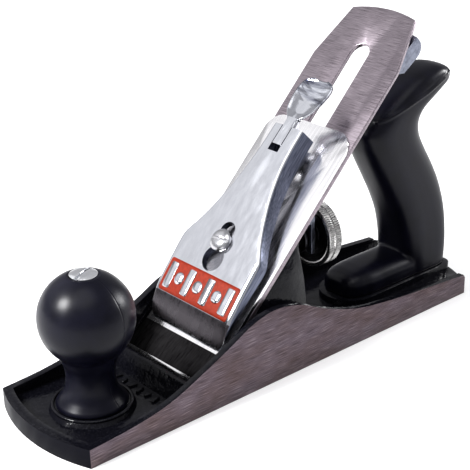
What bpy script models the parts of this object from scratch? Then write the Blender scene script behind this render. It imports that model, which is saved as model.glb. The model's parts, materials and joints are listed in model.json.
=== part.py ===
"""A bench smoothing plane, built piece by piece.

Frame: +X towards the toe, +Y to the plane's left, +Z up; the origin is under the middle of the sole.
The iron's bed is a plane at BED_ANGLE that meets the sole's face at MOUTH_X. Pieces on the bed are modelled in
the bed frame: its x runs down the bed, so a place s up the bed is x = -s, its y is the plane's y, and its z is
the height t above the bed.
"""

import math

import bmesh
import bpy
from mathutils import Matrix, Vector

MM = 0.001
GAP = 0.3 * MM          # between pieces that touch
RUN = 0.15 * MM         # radial clearance of a piece that turns or sits in a hole

# ---------------------------------------------------------------- sole body
SOLE_LENGTH = 245.0 * MM
SOLE_WIDTH = 64.0 * MM
TOE_BOW = 6.7 * MM
HEEL_BOW = 12.0 * MM
FLOOR = 4.5 * MM
CHEEK = 3.2 * MM
TOE_RIM = 4.5 * MM
TOE_HEIGHT = 8.2 * MM
HEEL_HEIGHT = 10.2 * MM
CHEEK_PEAK = 35.2 * MM
SEAT_HEIGHT = 8.0 * MM
RIB_HEIGHT = 15.0 * MM
RIB_HALF = 6.0 * MM
RIDGE_HEIGHT = 13.0 * MM
RIDGE_TOP = 2.8 * MM
MOUTH_GAP = 1.8 * MM    # between the iron's face and the mouth's front edge
BED_ANGLE = math.radians(45)
MOUTH_TO_TOE = 68.0 * MM
KNOB_TO_TOE = 30.4 * MM
BLIND = 1.5 * MM        # material left under a blind hole in the sole

# ---------------------------------------------------------------- iron, cap iron
IRON_WIDTH = 51.5 * MM
IRON_THICK = 2.2 * MM
IRON_TOP = 198.5 * MM
IRON_SHOULDER = 169.0 * MM
IRON_TOP_HALF = 19.0 * MM
IRON_BEVEL = math.radians(25)
IRON_SLOT = 11.0 * MM
IRON_SLOT_TOP = 178.7 * MM
IRON_SLOT_LOW = 58.0 * MM
IRON_EYE_RADIUS = 7.4 * MM
EDGE_HEIGHT = 0.35 * MM
CAP_IRON_THICK = 1.8 * MM
CAP_IRON_TOP = 134.0 * MM
CAP_IRON_CORNER = 9.0 * MM
CAP_SCREW_AT = 77.5 * MM
CAP_SCREW_HEAD = 5.2 * MM
CAP_SCREW_SHANK = 3.3 * MM
CAP_SCREW_HEAD_THICK = 2.9 * MM

# ---------------------------------------------------------------- frog
FROG_HALF = 24.0 * MM
FROG_TOP = 112.0 * MM
FROG_PLATE = 8.0 * MM
FROG_BACK_FROM_BED = 63.5 * MM
FROG_BLOCK_HEIGHT = 25.3 * MM
FROG_POCKET_HALF = 18.0 * MM
FROG_TRAVEL = 1.0 * MM
FROG_SCREW_AT = 26.5 * MM
FROG_SCREW_SPREAD = 13.0 * MM
FROG_SCREW_RADIUS = 2.6 * MM
FROG_SCREW_HEAD = 4.6 * MM
FROG_WASHER = 5.8 * MM
FROG_LEDGE = 17.3 * MM
ADJUSTER_HEIGHT = 10.5 * MM
ADJUSTER_RADIUS = 2.2 * MM
ADJUSTER_HEAD = 4.2 * MM

# ---------------------------------------------------------------- depth adjuster
YOKE_AT = 86.0 * MM
YOKE_PIN_DEPTH = 12.0 * MM
YOKE_PIN_RADIUS = 1.5 * MM
YOKE_BLADE_THICK = 3.0 * MM
YOKE_BLADE_HALF = 3.0 * MM
TINE_THICK = 2.2 * MM
GROOVE_PLAY = 1.0 * MM
DEPTH_AXIS_HEIGHT = 45.5 * MM
STUD_RADIUS = 2.6 * MM
BUSH_CORE = 4.6 * MM
BUSH_FLANGE = 7.2 * MM
FLANGE_THICK = 1.4 * MM
WHEEL_RADIUS = 16.0 * MM
WHEEL_WIDTH = 7.8 * MM
WHEEL_WEB = 4.3 * MM
WHEEL_BEHIND_FROG = 22.7 * MM

# ---------------------------------------------------------------- lateral lever
LATERAL_AT = 105.5 * MM
ROLLER_ARM = 6.0 * MM
ROLLER_RADIUS = 5.0 * MM
LATERAL_THICK = 1.8 * MM
LATERAL_SINK = 0.6 * MM
LATERAL_HALF = 4.2 * MM
LATERAL_TOP = 192.0 * MM
LATERAL_TAB_DEPTH = 9.0 * MM
LATERAL_TAB_LENGTH = 19.0 * MM
LATERAL_REST = math.radians(11)

# ---------------------------------------------------------------- lever cap
CAP_LOW = 23.4 * MM
CAP_HIGH = 124.0 * MM
CAP_HALF = 25.5 * MM
CAP_TOP_HALF = 9.4 * MM
CAP_SKIRT_LIFT = 4.4 * MM  # from the cap iron's face to the side walls' feet
CAP_PLATE = 3.4 * MM
CAP_WALL = 2.6 * MM
KEYHOLE_AT = 57.0 * MM
KEYHOLE_RADIUS = 5.9 * MM
KEYHOLE_SLOT_HALF = 4.2 * MM
KEYHOLE_SLOT_END = 70.5 * MM
LEVER_SCREW_AT = 65.5 * MM
LEVER_SCREW_RADIUS = 3.0 * MM
LEVER_SCREW_HEAD = 5.2 * MM
LEVER_SLOT_HALF = 3.1 * MM
LEVER_SLOT_END = 111.0 * MM
CAM_AT = 117.5 * MM
CAM_LIFT = 9.2 * MM      # from the cap iron's face to the cam's pin
CAM_RADIUS = 5.0 * MM
CAM_PIN_RADIUS = 1.5 * MM
CAM_HALF = 2.7 * MM
SPOON_LENGTH = 150.5 * MM
SPOON_HALF = 9.6 * MM
SPRING_THICK = 0.8 * MM
SPRING_HALF = 4.0 * MM
SPRING_FOOT = 96.0 * MM
RIVET_RADIUS = 1.5 * MM

# ---------------------------------------------------------------- knob and handle
KNOB_RADIUS = 20.25 * MM
KNOB_CENTRE = 46.2 * MM
KNOB_NECK = 10.3 * MM
KNOB_FOOT = 15.3 * MM
KNOB_BOSS = 18.4 * MM
KNOB_BOSS_HEIGHT = 6.8 * MM
KNOB_SCREW_HEAD = 5.9 * MM
KNOB_SCREW_RADIUS = 2.7 * MM
TOTE_HALF = 13.6 * MM
TOTE_FOOT_HALF = 12.8 * MM
TOTE_FOOT_TOP = 19.5 * MM
TOTE_TO_HEEL = 1.6 * MM
TOTE_FOOT_LENGTH = 70.0 * MM
PAD_HEIGHT = 8.0 * MM
PAD_MARGIN = 2.0 * MM
PAD_NOSE = 4.5 * MM
TOTE_ROD_RADIUS = 2.6 * MM
TOTE_NUT_RADIUS = 5.6 * MM
TOTE_NUT_HEIGHT = 3.4 * MM

# ---------------------------------------------------------------- places worked out from the sizes
TOE_X = SOLE_LENGTH / 2
HEEL_X = -SOLE_LENGTH / 2
HALF_WIDTH = SOLE_WIDTH / 2
MOUTH_X = TOE_X - MOUTH_TO_TOE
KNOB_X = TOE_X - KNOB_TO_TOE
TOTE_X = HEEL_X + TOTE_TO_HEEL
IRON_FACE = GAP + IRON_THICK
CAP_IRON_BACK = IRON_FACE + GAP
CAP_IRON_FACE = CAP_IRON_BACK + CAP_IRON_THICK
CAP_SKIRT_FOOT = CAP_IRON_FACE + CAP_SKIRT_LIFT
CAM_HEIGHT = CAP_IRON_FACE + CAM_LIFT
SIN, COS = math.sin(BED_ANGLE), math.cos(BED_ANGLE)
MOUTH_FRONT = MOUTH_X + IRON_FACE / SIN + MOUTH_GAP
FROG_BACK = MOUTH_X - FROG_BACK_FROM_BED
FROG_FLOOR = SEAT_HEIGHT + GAP
FROG_SCREW_X = MOUTH_X - FROG_SCREW_AT
WHEEL_FRONT = FROG_BACK - WHEEL_BEHIND_FROG
WHEEL_BACK = WHEEL_FRONT - WHEEL_WIDTH
GROOVE_BACK = WHEEL_FRONT + GAP + FLANGE_THICK
TINE_BACK = GROOVE_BACK + GROOVE_PLAY
TINE_FRONT = TINE_BACK + TINE_THICK
GROOVE_FRONT = TINE_FRONT + GROOVE_PLAY
ROLLER_AT = LATERAL_AT - ROLLER_ARM
IRON_SKEW = -math.atan(ROLLER_ARM * math.sin(LATERAL_REST) / ROLLER_AT)
IRON_EDGE = (EDGE_HEIGHT - IRON_FACE * COS) / SIN
TOTE_ROD_FOOT = Vector((TOTE_X + 14.4 * MM, 0, 0))
TOTE_ROD_TOP = Vector((TOTE_X + 44.9 * MM, 0, 95.0 * MM))
TOTE_NUT_SEAT = (TOTE_ROD_TOP - TOTE_ROD_FOOT).length - TOTE_NUT_HEIGHT
ROUND = 32


# ================================================================ helpers
def bed_matrix(turn=0.0, s=0.0):
    """The bed frame, turned about the bed's normal at a place s up the bed."""
    place = Matrix.Translation((MOUTH_X, 0, 0)) @ Matrix.Rotation(math.pi / 2 - BED_ANGLE, 4, "Y")
    return place @ Matrix.Translation((-s, 0, 0)) @ Matrix.Rotation(turn, 4, "Z")


def on_bed(s, t, y=0.0):
    """A place on the bed frame as a world point."""
    return bed_matrix() @ Vector((-s, y, t))


def finish(bm, name, matrix=None):
    """Turns a bmesh into an object, its faces out and its round sides smooth."""
    bmesh.ops.remove_doubles(bm, verts=bm.verts, dist=1e-6)
    bmesh.ops.recalc_face_normals(bm, faces=bm.faces)
    mesh = bpy.data.meshes.new(name)
    bm.to_mesh(mesh)
    bm.free()
    obj = bpy.data.objects.new(name, mesh)
    bpy.context.scene.collection.objects.link(obj)
    if matrix is not None:
        obj.matrix_world = matrix
    return obj


def loop_face(bm, points):
    return bm.faces.new([bm.verts.new(p) for p in points])


def prism(outline, low, high, along="Z", name="tool", matrix=None):
    """An outline drawn in XY and raised along Z, or drawn in XZ and raised along Y."""
    bm = bmesh.new()
    if along == "Z":
        points, step = [(a, b, low) for a, b in outline], (0, 0, high - low)
    else:
        points, step = [(a, low, b) for a, b in outline], (0, high - low, 0)
    base = loop_face(bm, points)
    raised = bmesh.ops.extrude_face_region(bm, geom=[base])["geom"]
    bmesh.ops.translate(bm, verts=[g for g in raised if isinstance(g, bmesh.types.BMVert)], vec=step)
    return finish(bm, name, matrix)


def turned(profile, name="tool", matrix=None, steps=ROUND):
    """A closed profile of (radius, height) pairs spun about Z."""
    bm = bmesh.new()
    face = loop_face(bm, [(r, 0, z) for r, z in profile])
    edges = list(face.edges)
    bm.faces.remove(face)
    edges = [e for e in edges if any(v.co.x > 1e-9 for v in e.verts)]
    verts = list({v for e in edges for v in e.verts})
    bmesh.ops.delete(bm, geom=[e for e in bm.edges if e not in edges], context="EDGES")
    bmesh.ops.spin(bm, geom=verts + edges, cent=(0, 0, 0), axis=(0, 0, 1), angle=math.tau, steps=steps,
                   use_merge=True)
    bmesh.ops.remove_doubles(bm, verts=bm.verts, dist=1e-6)
    bm.normal_update()
    flat = [v for v in bm.verts if v.co.xy.length < 1e-9 and all(abs(f.normal.z) > 0.99999 for f in v.link_faces)]
    bmesh.ops.dissolve_verts(bm, verts=flat)
    return finish(bm, name, matrix)


def rod(radius, low, high, name="tool", matrix=None, steps=24):
    return turned([(0, low), (radius, low), (radius, high), (0, high)], name, matrix, steps)


def loft(rings, name="tool", matrix=None):
    """A closed skin through rings of points, each ring with the same number."""
    bm = bmesh.new()
    loops = [loop_face(bm, ring) for ring in rings]
    for first, second in zip(loops, loops[1:]):
        bmesh.ops.bridge_loops(bm, edges=list(first.edges) + list(second.edges))
    for face in loops[1:-1]:
        bm.faces.remove(face)
    return finish(bm, name, matrix)


def combine(target, tool, operation):
    """Applies one exact boolean and removes the tool."""
    modifier = target.modifiers.new(operation, "BOOLEAN")
    modifier.operation = operation
    modifier.solver = "EXACT"
    modifier.object = tool
    bpy.context.view_layer.update()
    graph = bpy.context.evaluated_depsgraph_get()
    result = bpy.data.meshes.new_from_object(target.evaluated_get(graph))
    target.modifiers.clear()
    target.data = result
    bpy.data.objects.remove(tool)


def cut(target, *tools):
    for tool in tools:
        combine(target, tool, "DIFFERENCE")


def fuse(target, *tools):
    for tool in tools:
        combine(target, tool, "UNION")


def keep_inside(target, tool):
    combine(target, tool, "INTERSECT")


def dress(obj, name, colour, roughness, metallic=0.0):
    """Names the piece, shades it and gives it its own material."""
    obj.name = name
    obj.data.name = name
    obj.data.shade_smooth()
    obj.data.set_sharp_from_angle(angle=math.radians(32))
    material = bpy.data.materials.new(name)
    material.use_nodes = True
    shader = material.node_tree.nodes["Principled BSDF"]
    shader.inputs["Base Color"].default_value = (*colour, 1)
    shader.inputs["Roughness"].default_value = roughness
    shader.inputs["Metallic"].default_value = metallic
    obj.data.materials.clear()
    obj.data.materials.append(material)
    return obj


def arc(centre, radius, start, end, steps):
    """Points on an arc, its angles in degrees."""
    angles = [math.radians(start + (end - start) * i / steps) for i in range(steps + 1)]
    return [(centre[0] + radius * math.cos(a), centre[1] + radius * math.sin(a)) for a in angles]


def circle(centre, radius, steps=24):
    return arc(centre, radius, 0, 360, steps)[:-1]


def slot_outline(low, high, half, steps=8):
    """A slot with round ends up the bed, from low to high, in the bed frame's XY."""
    upper = arc((-(high - half), 0), half, 90, 270, steps)
    lower = arc((-(low + half), 0), half, -90, 90, steps)
    return upper + lower


def smooth(points, steps):
    """A Catmull-Rom curve through the points."""
    ends = [points[0]] + list(points) + [points[-1]]
    curve = []
    for a, b, c, d in zip(ends, ends[1:], ends[2:], ends[3:]):
        for i in range(steps):
            u = i / steps
            curve.append(tuple(
                0.5 * (2 * q + (r - p) * u + (2 * p - 5 * q + 4 * r - s) * u * u
                       + (3 * q - p - 3 * r + s) * u ** 3)
                for p, q, r, s in zip(a, b, c, d)))
    return curve + [tuple(points[-1])]


def along(table, where):
    """Reads a value between the rows of a table of (place, value)."""
    for (a, low), (b, high) in zip(table, table[1:]):
        if where <= b:
            return low + (high - low) * max(0.0, (where - a) / (b - a))
    return table[-1][1]


def mirrored(half):
    """Closes one side's (place, half width) list into an outline in the bed frame."""
    return [(-s, y) for s, y in half] + [(-s, -y) for s, y in reversed(half)]


def axis_x(x, y, z):
    """A frame whose z axis points along +X."""
    return Matrix.Translation((x, y, z)) @ Matrix.Rotation(math.pi / 2, 4, "Y")


# ================================================================ sole body
def plan_outline(side=0.0, toe=0.0, heel=0.0, steps=16):
    """The sole's plan: straight sides, a bowed toe and a bowed heel, each drawn in by its margin."""
    half = HALF_WIDTH - side
    points = []
    for end, bow, sign in ((TOE_X - toe, TOE_BOW, 1), (HEEL_X + heel, HEEL_BOW, -1)):
        radius = (HALF_WIDTH ** 2 + bow ** 2) / (2 * bow)
        for i in range(steps + 1):
            y = sign * half * (-1 + 2 * i / steps)
            points.append((end - sign * (radius - math.sqrt(radius ** 2 - y ** 2)), y))
    return points


def cheek_profile():
    """The side walls' top line from toe to heel: low at the toe, a hump by the frog, a long fall to the heel."""
    knots = [
        (TOE_X, TOE_HEIGHT), (MOUTH_X + 41 * MM, 9.8 * MM), (MOUTH_X + 21 * MM, 13.3 * MM),
        (MOUTH_X + 4 * MM, 19.8 * MM), (MOUTH_X - 11 * MM, 26.4 * MM), (MOUTH_X - 24 * MM, 32.6 * MM),
        (MOUTH_X - 37 * MM, CHEEK_PEAK), (MOUTH_X - 52 * MM, 32.4 * MM), (MOUTH_X - 68 * MM, 25.0 * MM),
        (MOUTH_X - 88 * MM, 18.2 * MM), (MOUTH_X - 112 * MM, 14.4 * MM), (MOUTH_X - 138 * MM, 12.1 * MM),
        (HEEL_X + HEEL_BOW + 4 * MM, HEEL_HEIGHT), (HEEL_X + HEEL_BOW + MM, HEEL_HEIGHT - 0.3 * MM),
        (HEEL_X + HEEL_BOW, HEEL_HEIGHT - 1.6 * MM), (HEEL_X, FLOOR + 2 * MM)]
    return smooth(knots, 5)


def ramp_x(z, back=0.7 * MM):
    """Where the casting's own ramp, a little behind the bed plane, is at a height."""
    return MOUTH_X - back - z / math.tan(BED_ANGLE)


def tote_pad_outline():
    """The raised pad under the handle, larger than its foot, most of all in front."""
    half = TOTE_FOOT_HALF + PAD_MARGIN
    front = TOTE_X + TOTE_FOOT_LENGTH + PAD_NOSE
    back = HEEL_X + MM
    nose = arc((front - half, 0), half, -90, 90, 10)
    tail = arc((back + 5 * MM, half - 5 * MM), 5 * MM, 90, 180, 4)
    return nose + tail + [(x, -y) for x, y in reversed(tail)]


def make_sole_body():
    body = prism(plan_outline(), 0, CHEEK_PEAK + 2 * MM)
    top = cheek_profile()
    side = [(TOE_X + MM, -MM), (TOE_X + MM, TOE_HEIGHT)] + top[1:] + [(HEEL_X - MM, top[-1][1]), (HEEL_X - MM, -MM)]
    keep_inside(body, prism(side, -SOLE_WIDTH, SOLE_WIDTH, "Y"))
    cut(body, prism(plan_outline(CHEEK, TOE_RIM, -HEEL_BOW), FLOOR, 2 * CHEEK_PEAK))
    inner = HALF_WIDTH - CHEEK + 0.4 * MM
    ridge = [(MOUTH_FRONT - MM, 2 * MM), (MOUTH_FRONT - 0.6 * MM, RIDGE_HEIGHT),
             (MOUTH_FRONT - 0.6 * MM + RIDGE_TOP, RIDGE_HEIGHT), (MOUTH_FRONT + 7 * MM, FLOOR - MM),
             (MOUTH_FRONT + 7 * MM, 2 * MM)]
    fuse(body, prism(ridge, -inner, inner, "Y"))
    seat_back = FROG_BACK - MM
    seat = [(ramp_x(2 * MM), 2 * MM), (ramp_x(SEAT_HEIGHT), SEAT_HEIGHT), (seat_back, SEAT_HEIGHT),
            (seat_back, 2 * MM)]
    seat_half = FROG_HALF + 2 * MM
    fuse(body, prism(seat, -seat_half, seat_half, "Y"))
    rib = [(FROG_BACK + 3 * MM, 2 * MM), (FROG_SCREW_X, 2 * MM), (FROG_SCREW_X, RIB_HEIGHT),
           (FROG_BACK + 3 * MM, RIB_HEIGHT)]
    fuse(body, prism(rib, -RIB_HALF, RIB_HALF, "Y"))
    boss = [(0, 2 * MM), (KNOB_BOSS, 2 * MM), (KNOB_BOSS, FLOOR), (KNOB_BOSS - 1.2 * MM, KNOB_BOSS_HEIGHT),
            (0, KNOB_BOSS_HEIGHT)]
    fuse(body, turned(boss, matrix=Matrix.Translation((KNOB_X, 0, 0)), steps=40))
    fuse(body, prism(tote_pad_outline(), 2 * MM, PAD_HEIGHT))
    mouth_half = IRON_WIDTH / 2 + 1.3 * MM
    mouth = [(ramp_x(-MM), -MM), (MOUTH_FRONT, -MM), (MOUTH_FRONT, RIDGE_HEIGHT + MM),
             (ramp_x(RIDGE_HEIGHT + MM), RIDGE_HEIGHT + MM)]
    cut(body, prism(mouth, -mouth_half, mouth_half, "Y"))
    cut(body, rod(KNOB_SCREW_RADIUS + RUN, BLIND, 20 * MM, matrix=Matrix.Translation((KNOB_X, 0, 0))))
    cut(body, rod(TOTE_ROD_RADIUS + RUN, 2.6 * MM, 30 * MM, matrix=tote_rod_matrix()))
    for side in (-1, 1):
        place = Matrix.Translation((FROG_SCREW_X, side * FROG_SCREW_SPREAD, 0))
        cut(body, rod(FROG_SCREW_RADIUS + RUN, BLIND, 20 * MM, matrix=place))
    screw = axis_x(FROG_BACK, 0, ADJUSTER_HEIGHT)
    cut(body, rod(ADJUSTER_RADIUS + RUN, 0, 30 * MM, matrix=screw))
    cut(body, rod(ADJUSTER_HEAD + 2 * GAP, -6 * MM, 0, matrix=screw))
    return dress(body, "sole_body", (0.30, 0.28, 0.29), 0.45, 1.0)


# ================================================================ knob
def knob_profile():
    """Half the knob's outline from its foot to the seat of the screw's head, then down the bore."""
    foot = KNOB_BOSS_HEIGHT + GAP
    seat = KNOB_CENTRE + math.sqrt(KNOB_RADIUS ** 2 - (KNOB_SCREW_HEAD + 0.4 * MM) ** 2)
    neck = [(KNOB_FOOT, foot), (KNOB_FOOT - 0.4 * MM, foot + 1.4 * MM), (KNOB_NECK + 2.2 * MM, foot + 4 * MM),
            (KNOB_NECK + 0.3 * MM, foot + 8.5 * MM), (KNOB_NECK, foot + 12.5 * MM),
            (KNOB_NECK + 0.6 * MM, foot + 18 * MM)]
    start = math.degrees(math.asin(-0.80))
    end = math.degrees(math.acos((KNOB_SCREW_HEAD + 0.4 * MM) / KNOB_RADIUS))
    ball = arc((0, KNOB_CENTRE), KNOB_RADIUS, start, end, 18)
    recess = [(KNOB_SCREW_HEAD + 0.3 * MM, seat - 1.6 * MM), (KNOB_SCREW_RADIUS + GAP, seat - 1.6 * MM),
              (KNOB_SCREW_RADIUS + GAP, foot)]
    return smooth(neck, 3) + ball + recess


def make_knob():
    knob = turned(knob_profile(), matrix=Matrix.Translation((KNOB_X, 0, 0)), steps=48)
    return dress(knob, "knob", (0.02, 0.02, 0.025), 0.4)


def slotted_head(target, half_length, half_width, low, high, matrix=None):
    """Cuts a screwdriver's slot into a head that stands along Z."""
    outline = [(-half_length, -half_width), (half_length, -half_width), (half_length, half_width),
               (-half_length, half_width)]
    cut(target, prism(outline, low, high, matrix=matrix))


def make_knob_screw():
    seat = KNOB_CENTRE + math.sqrt(KNOB_RADIUS ** 2 - (KNOB_SCREW_HEAD + 0.4 * MM) ** 2) - 1.6 * MM + GAP
    rim = seat + 1.5 * MM
    dome = [(KNOB_SCREW_HEAD * 0.7, rim + 0.6 * MM), (0, rim + 0.9 * MM)]
    profile = [(0, BLIND + GAP), (KNOB_SCREW_RADIUS, BLIND + GAP), (KNOB_SCREW_RADIUS, seat),
               (KNOB_SCREW_HEAD, seat), (KNOB_SCREW_HEAD, rim)] + dome
    place = Matrix.Translation((KNOB_X, 0, 0))
    screw = turned(profile, matrix=place)
    turn = place @ Matrix.Rotation(math.radians(28), 4, "Z")
    slotted_head(screw, 8 * MM, 0.6 * MM, rim - 0.5 * MM, rim + 3 * MM, turn)
    return dress(screw, "knob_screw", (0.7, 0.7, 0.72), 0.25, 1.0)


# ================================================================ tote
def tote_rings():
    """Cross-sections of the grip, each from a point on its front edge and one on its back edge."""
    base = PAD_HEIGHT + GAP
    pairs = [  # front (x, z), back (x, z), share of the half thickness, squareness; x counts from the handle's back
        ((30.0, base), (0.6, base), 0.99, 4.2), ((29.4, 18), (0, 18), 1.0, 4.2), ((31.0, 29), (0.3, 29), 1.0, 4.0),
        ((34.6, 40), (1.6, 41), 0.98, 3.6), ((40.2, 51), (5.2, 53), 0.96, 3.3), ((46.6, 62), (10.4, 63.5), 0.95, 3.1),
        ((52.4, 72), (16.2, 73), 0.94, 3.0), ((56.2, 80), (20.6, 81.5), 0.93, 3.0), ((57.0, 87), (20.8, 88.5), 0.93, 3.0),
        ((50.0, 95.5), (17.6, 93.2), 0.92, 3.0), ((36.0, 103.5), (12.0, 96.6), 0.91, 3.0),
        ((22.0, 110.0), (6.4, 99.4), 0.87, 2.9), ((11.0, 112.6), (1.6, 102.0), 0.79, 2.8),
        ((3.2, 111.4), (-1.2, 105.2), 0.62, 2.4)]
    rings = []
    for (fx, fz), (bx, bz), share, power in pairs:
        fz, bz = [z if z == base else z * MM for z in (fz, bz)]
        front = Vector((TOTE_X + fx * MM, 0, fz))
        back = Vector((TOTE_X + bx * MM, 0, bz))
        rings.append(section(front, back, TOTE_HALF * share, 28, power))
    return rings


def section(front, back, half, count, power):
    """A rounded oval between two points, its half thickness along Y."""
    centre, reach = (front + back) / 2, (front - back) / 2
    ring = []
    for i in range(count):
        a = math.tau * i / count
        c, s = math.cos(a), math.sin(a)
        u = math.copysign(abs(c) ** (2 / power), c)
        v = math.copysign(abs(s) ** (2 / power), s)
        ring.append(centre + reach * u + Vector((0, half * v, 0)))
    return ring


def foot_rings():
    """The long forward foot: arched sections along X that shrink at its toe."""
    base = PAD_HEIGHT + GAP
    rings = []
    for back, rise, share in ((58, 1.0, 1.0), (40, 1.0, 1.0), (21, 1.0, 1.0), (11, 0.98, 0.98), (5, 0.9, 0.88),
                              (1.8, 0.72, 0.68), (0, 0.45, 0.40)):
        x = TOTE_FOOT_LENGTH / MM - back
        half, height = TOTE_FOOT_HALF * share, (TOTE_FOOT_TOP - base) * rise
        ring = [(TOTE_X + x * MM, half, base), (TOTE_X + x * MM, -half, base)]
        for i in range(13):
            a = math.pi * (1 + i / 12)
            ring.append((TOTE_X + x * MM, half * math.copysign(abs(math.cos(a)) ** 0.7, math.cos(a)),
                         base + height * (0.25 + 0.75 * abs(math.sin(a)) ** 0.8)))
        rings.append(ring)
    return rings


def tote_rod_matrix():
    """A frame on the rod's foot, with z up the rod."""
    up = TOTE_ROD_TOP - TOTE_ROD_FOOT
    return Matrix.Translation(TOTE_ROD_FOOT) @ up.to_track_quat("Z", "Y").to_matrix().to_4x4()


def make_tote():
    tote = loft(tote_rings())
    fuse(tote, loft(foot_rings()))
    place = tote_rod_matrix()
    cut(tote, rod(TOTE_ROD_RADIUS + GAP, -5 * MM, 140 * MM, matrix=place))
    cut(tote, rod(TOTE_NUT_RADIUS + GAP, TOTE_NUT_SEAT - GAP, 140 * MM, matrix=place))
    return dress(tote, "tote", (0.02, 0.02, 0.025), 0.4)


def make_tote_rod():
    bar = rod(TOTE_ROD_RADIUS, 3.2 * MM, TOTE_NUT_SEAT - GAP, matrix=tote_rod_matrix())
    return dress(bar, "tote_rod", (0.5, 0.5, 0.5), 0.4, 1.0)


def make_tote_nut():
    low, high = TOTE_NUT_SEAT, TOTE_NUT_SEAT + TOTE_NUT_HEIGHT
    profile = [(0, low), (TOTE_NUT_RADIUS, low), (TOTE_NUT_RADIUS, high - 1.2 * MM),
               (TOTE_NUT_RADIUS * 0.7, high - 0.3 * MM), (0, high)]
    nut = turned(profile, matrix=tote_rod_matrix())
    slotted_head(nut, 8 * MM, 0.6 * MM, high - 1.6 * MM, high + MM, tote_rod_matrix())
    return dress(nut, "tote_nut", (0.7, 0.7, 0.72), 0.3, 1.0)


# ================================================================ frog
def frog_side():
    """The frog's side outline in the world's XZ."""
    top, back = on_bed(FROG_TOP, 0), on_bed(FROG_TOP, -FROG_PLATE)
    under = back.z - (FROG_BACK - back.x) / math.tan(BED_ANGLE)
    front = MOUTH_X - FROG_FLOOR / math.tan(BED_ANGLE)
    return [(front, FROG_FLOOR), (top.x, top.z), (back.x, back.z), (FROG_BACK, under), (FROG_BACK, FROG_FLOOR)]


def frog_face():
    """The frog's outline seen square to the bed: wide at the foot, narrow and round at the top."""
    half = [(-30, FROG_HALF / MM), (62, FROG_HALF / MM), (72, 22), (84, 17.5), (102, 15.5), (109, 12),
            (FROG_TOP / MM + 0.5, 6)]
    return mirrored([(s * MM, y * MM) for s, y in half])


def frog_hollow():
    """The space behind the bed plate and between the side walls."""
    inner = FROG_PLATE - MM
    level = on_bed(0, -inner)
    front = level.x + level.z / math.tan(BED_ANGLE) - FROG_BLOCK_HEIGHT / math.tan(BED_ANGLE)
    far = FROG_BACK - 60 * MM
    rise = (front - far) * math.tan(BED_ANGLE)
    return [(front, FROG_BLOCK_HEIGHT), (far, FROG_BLOCK_HEIGHT + rise), (far, FROG_BLOCK_HEIGHT)]


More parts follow.
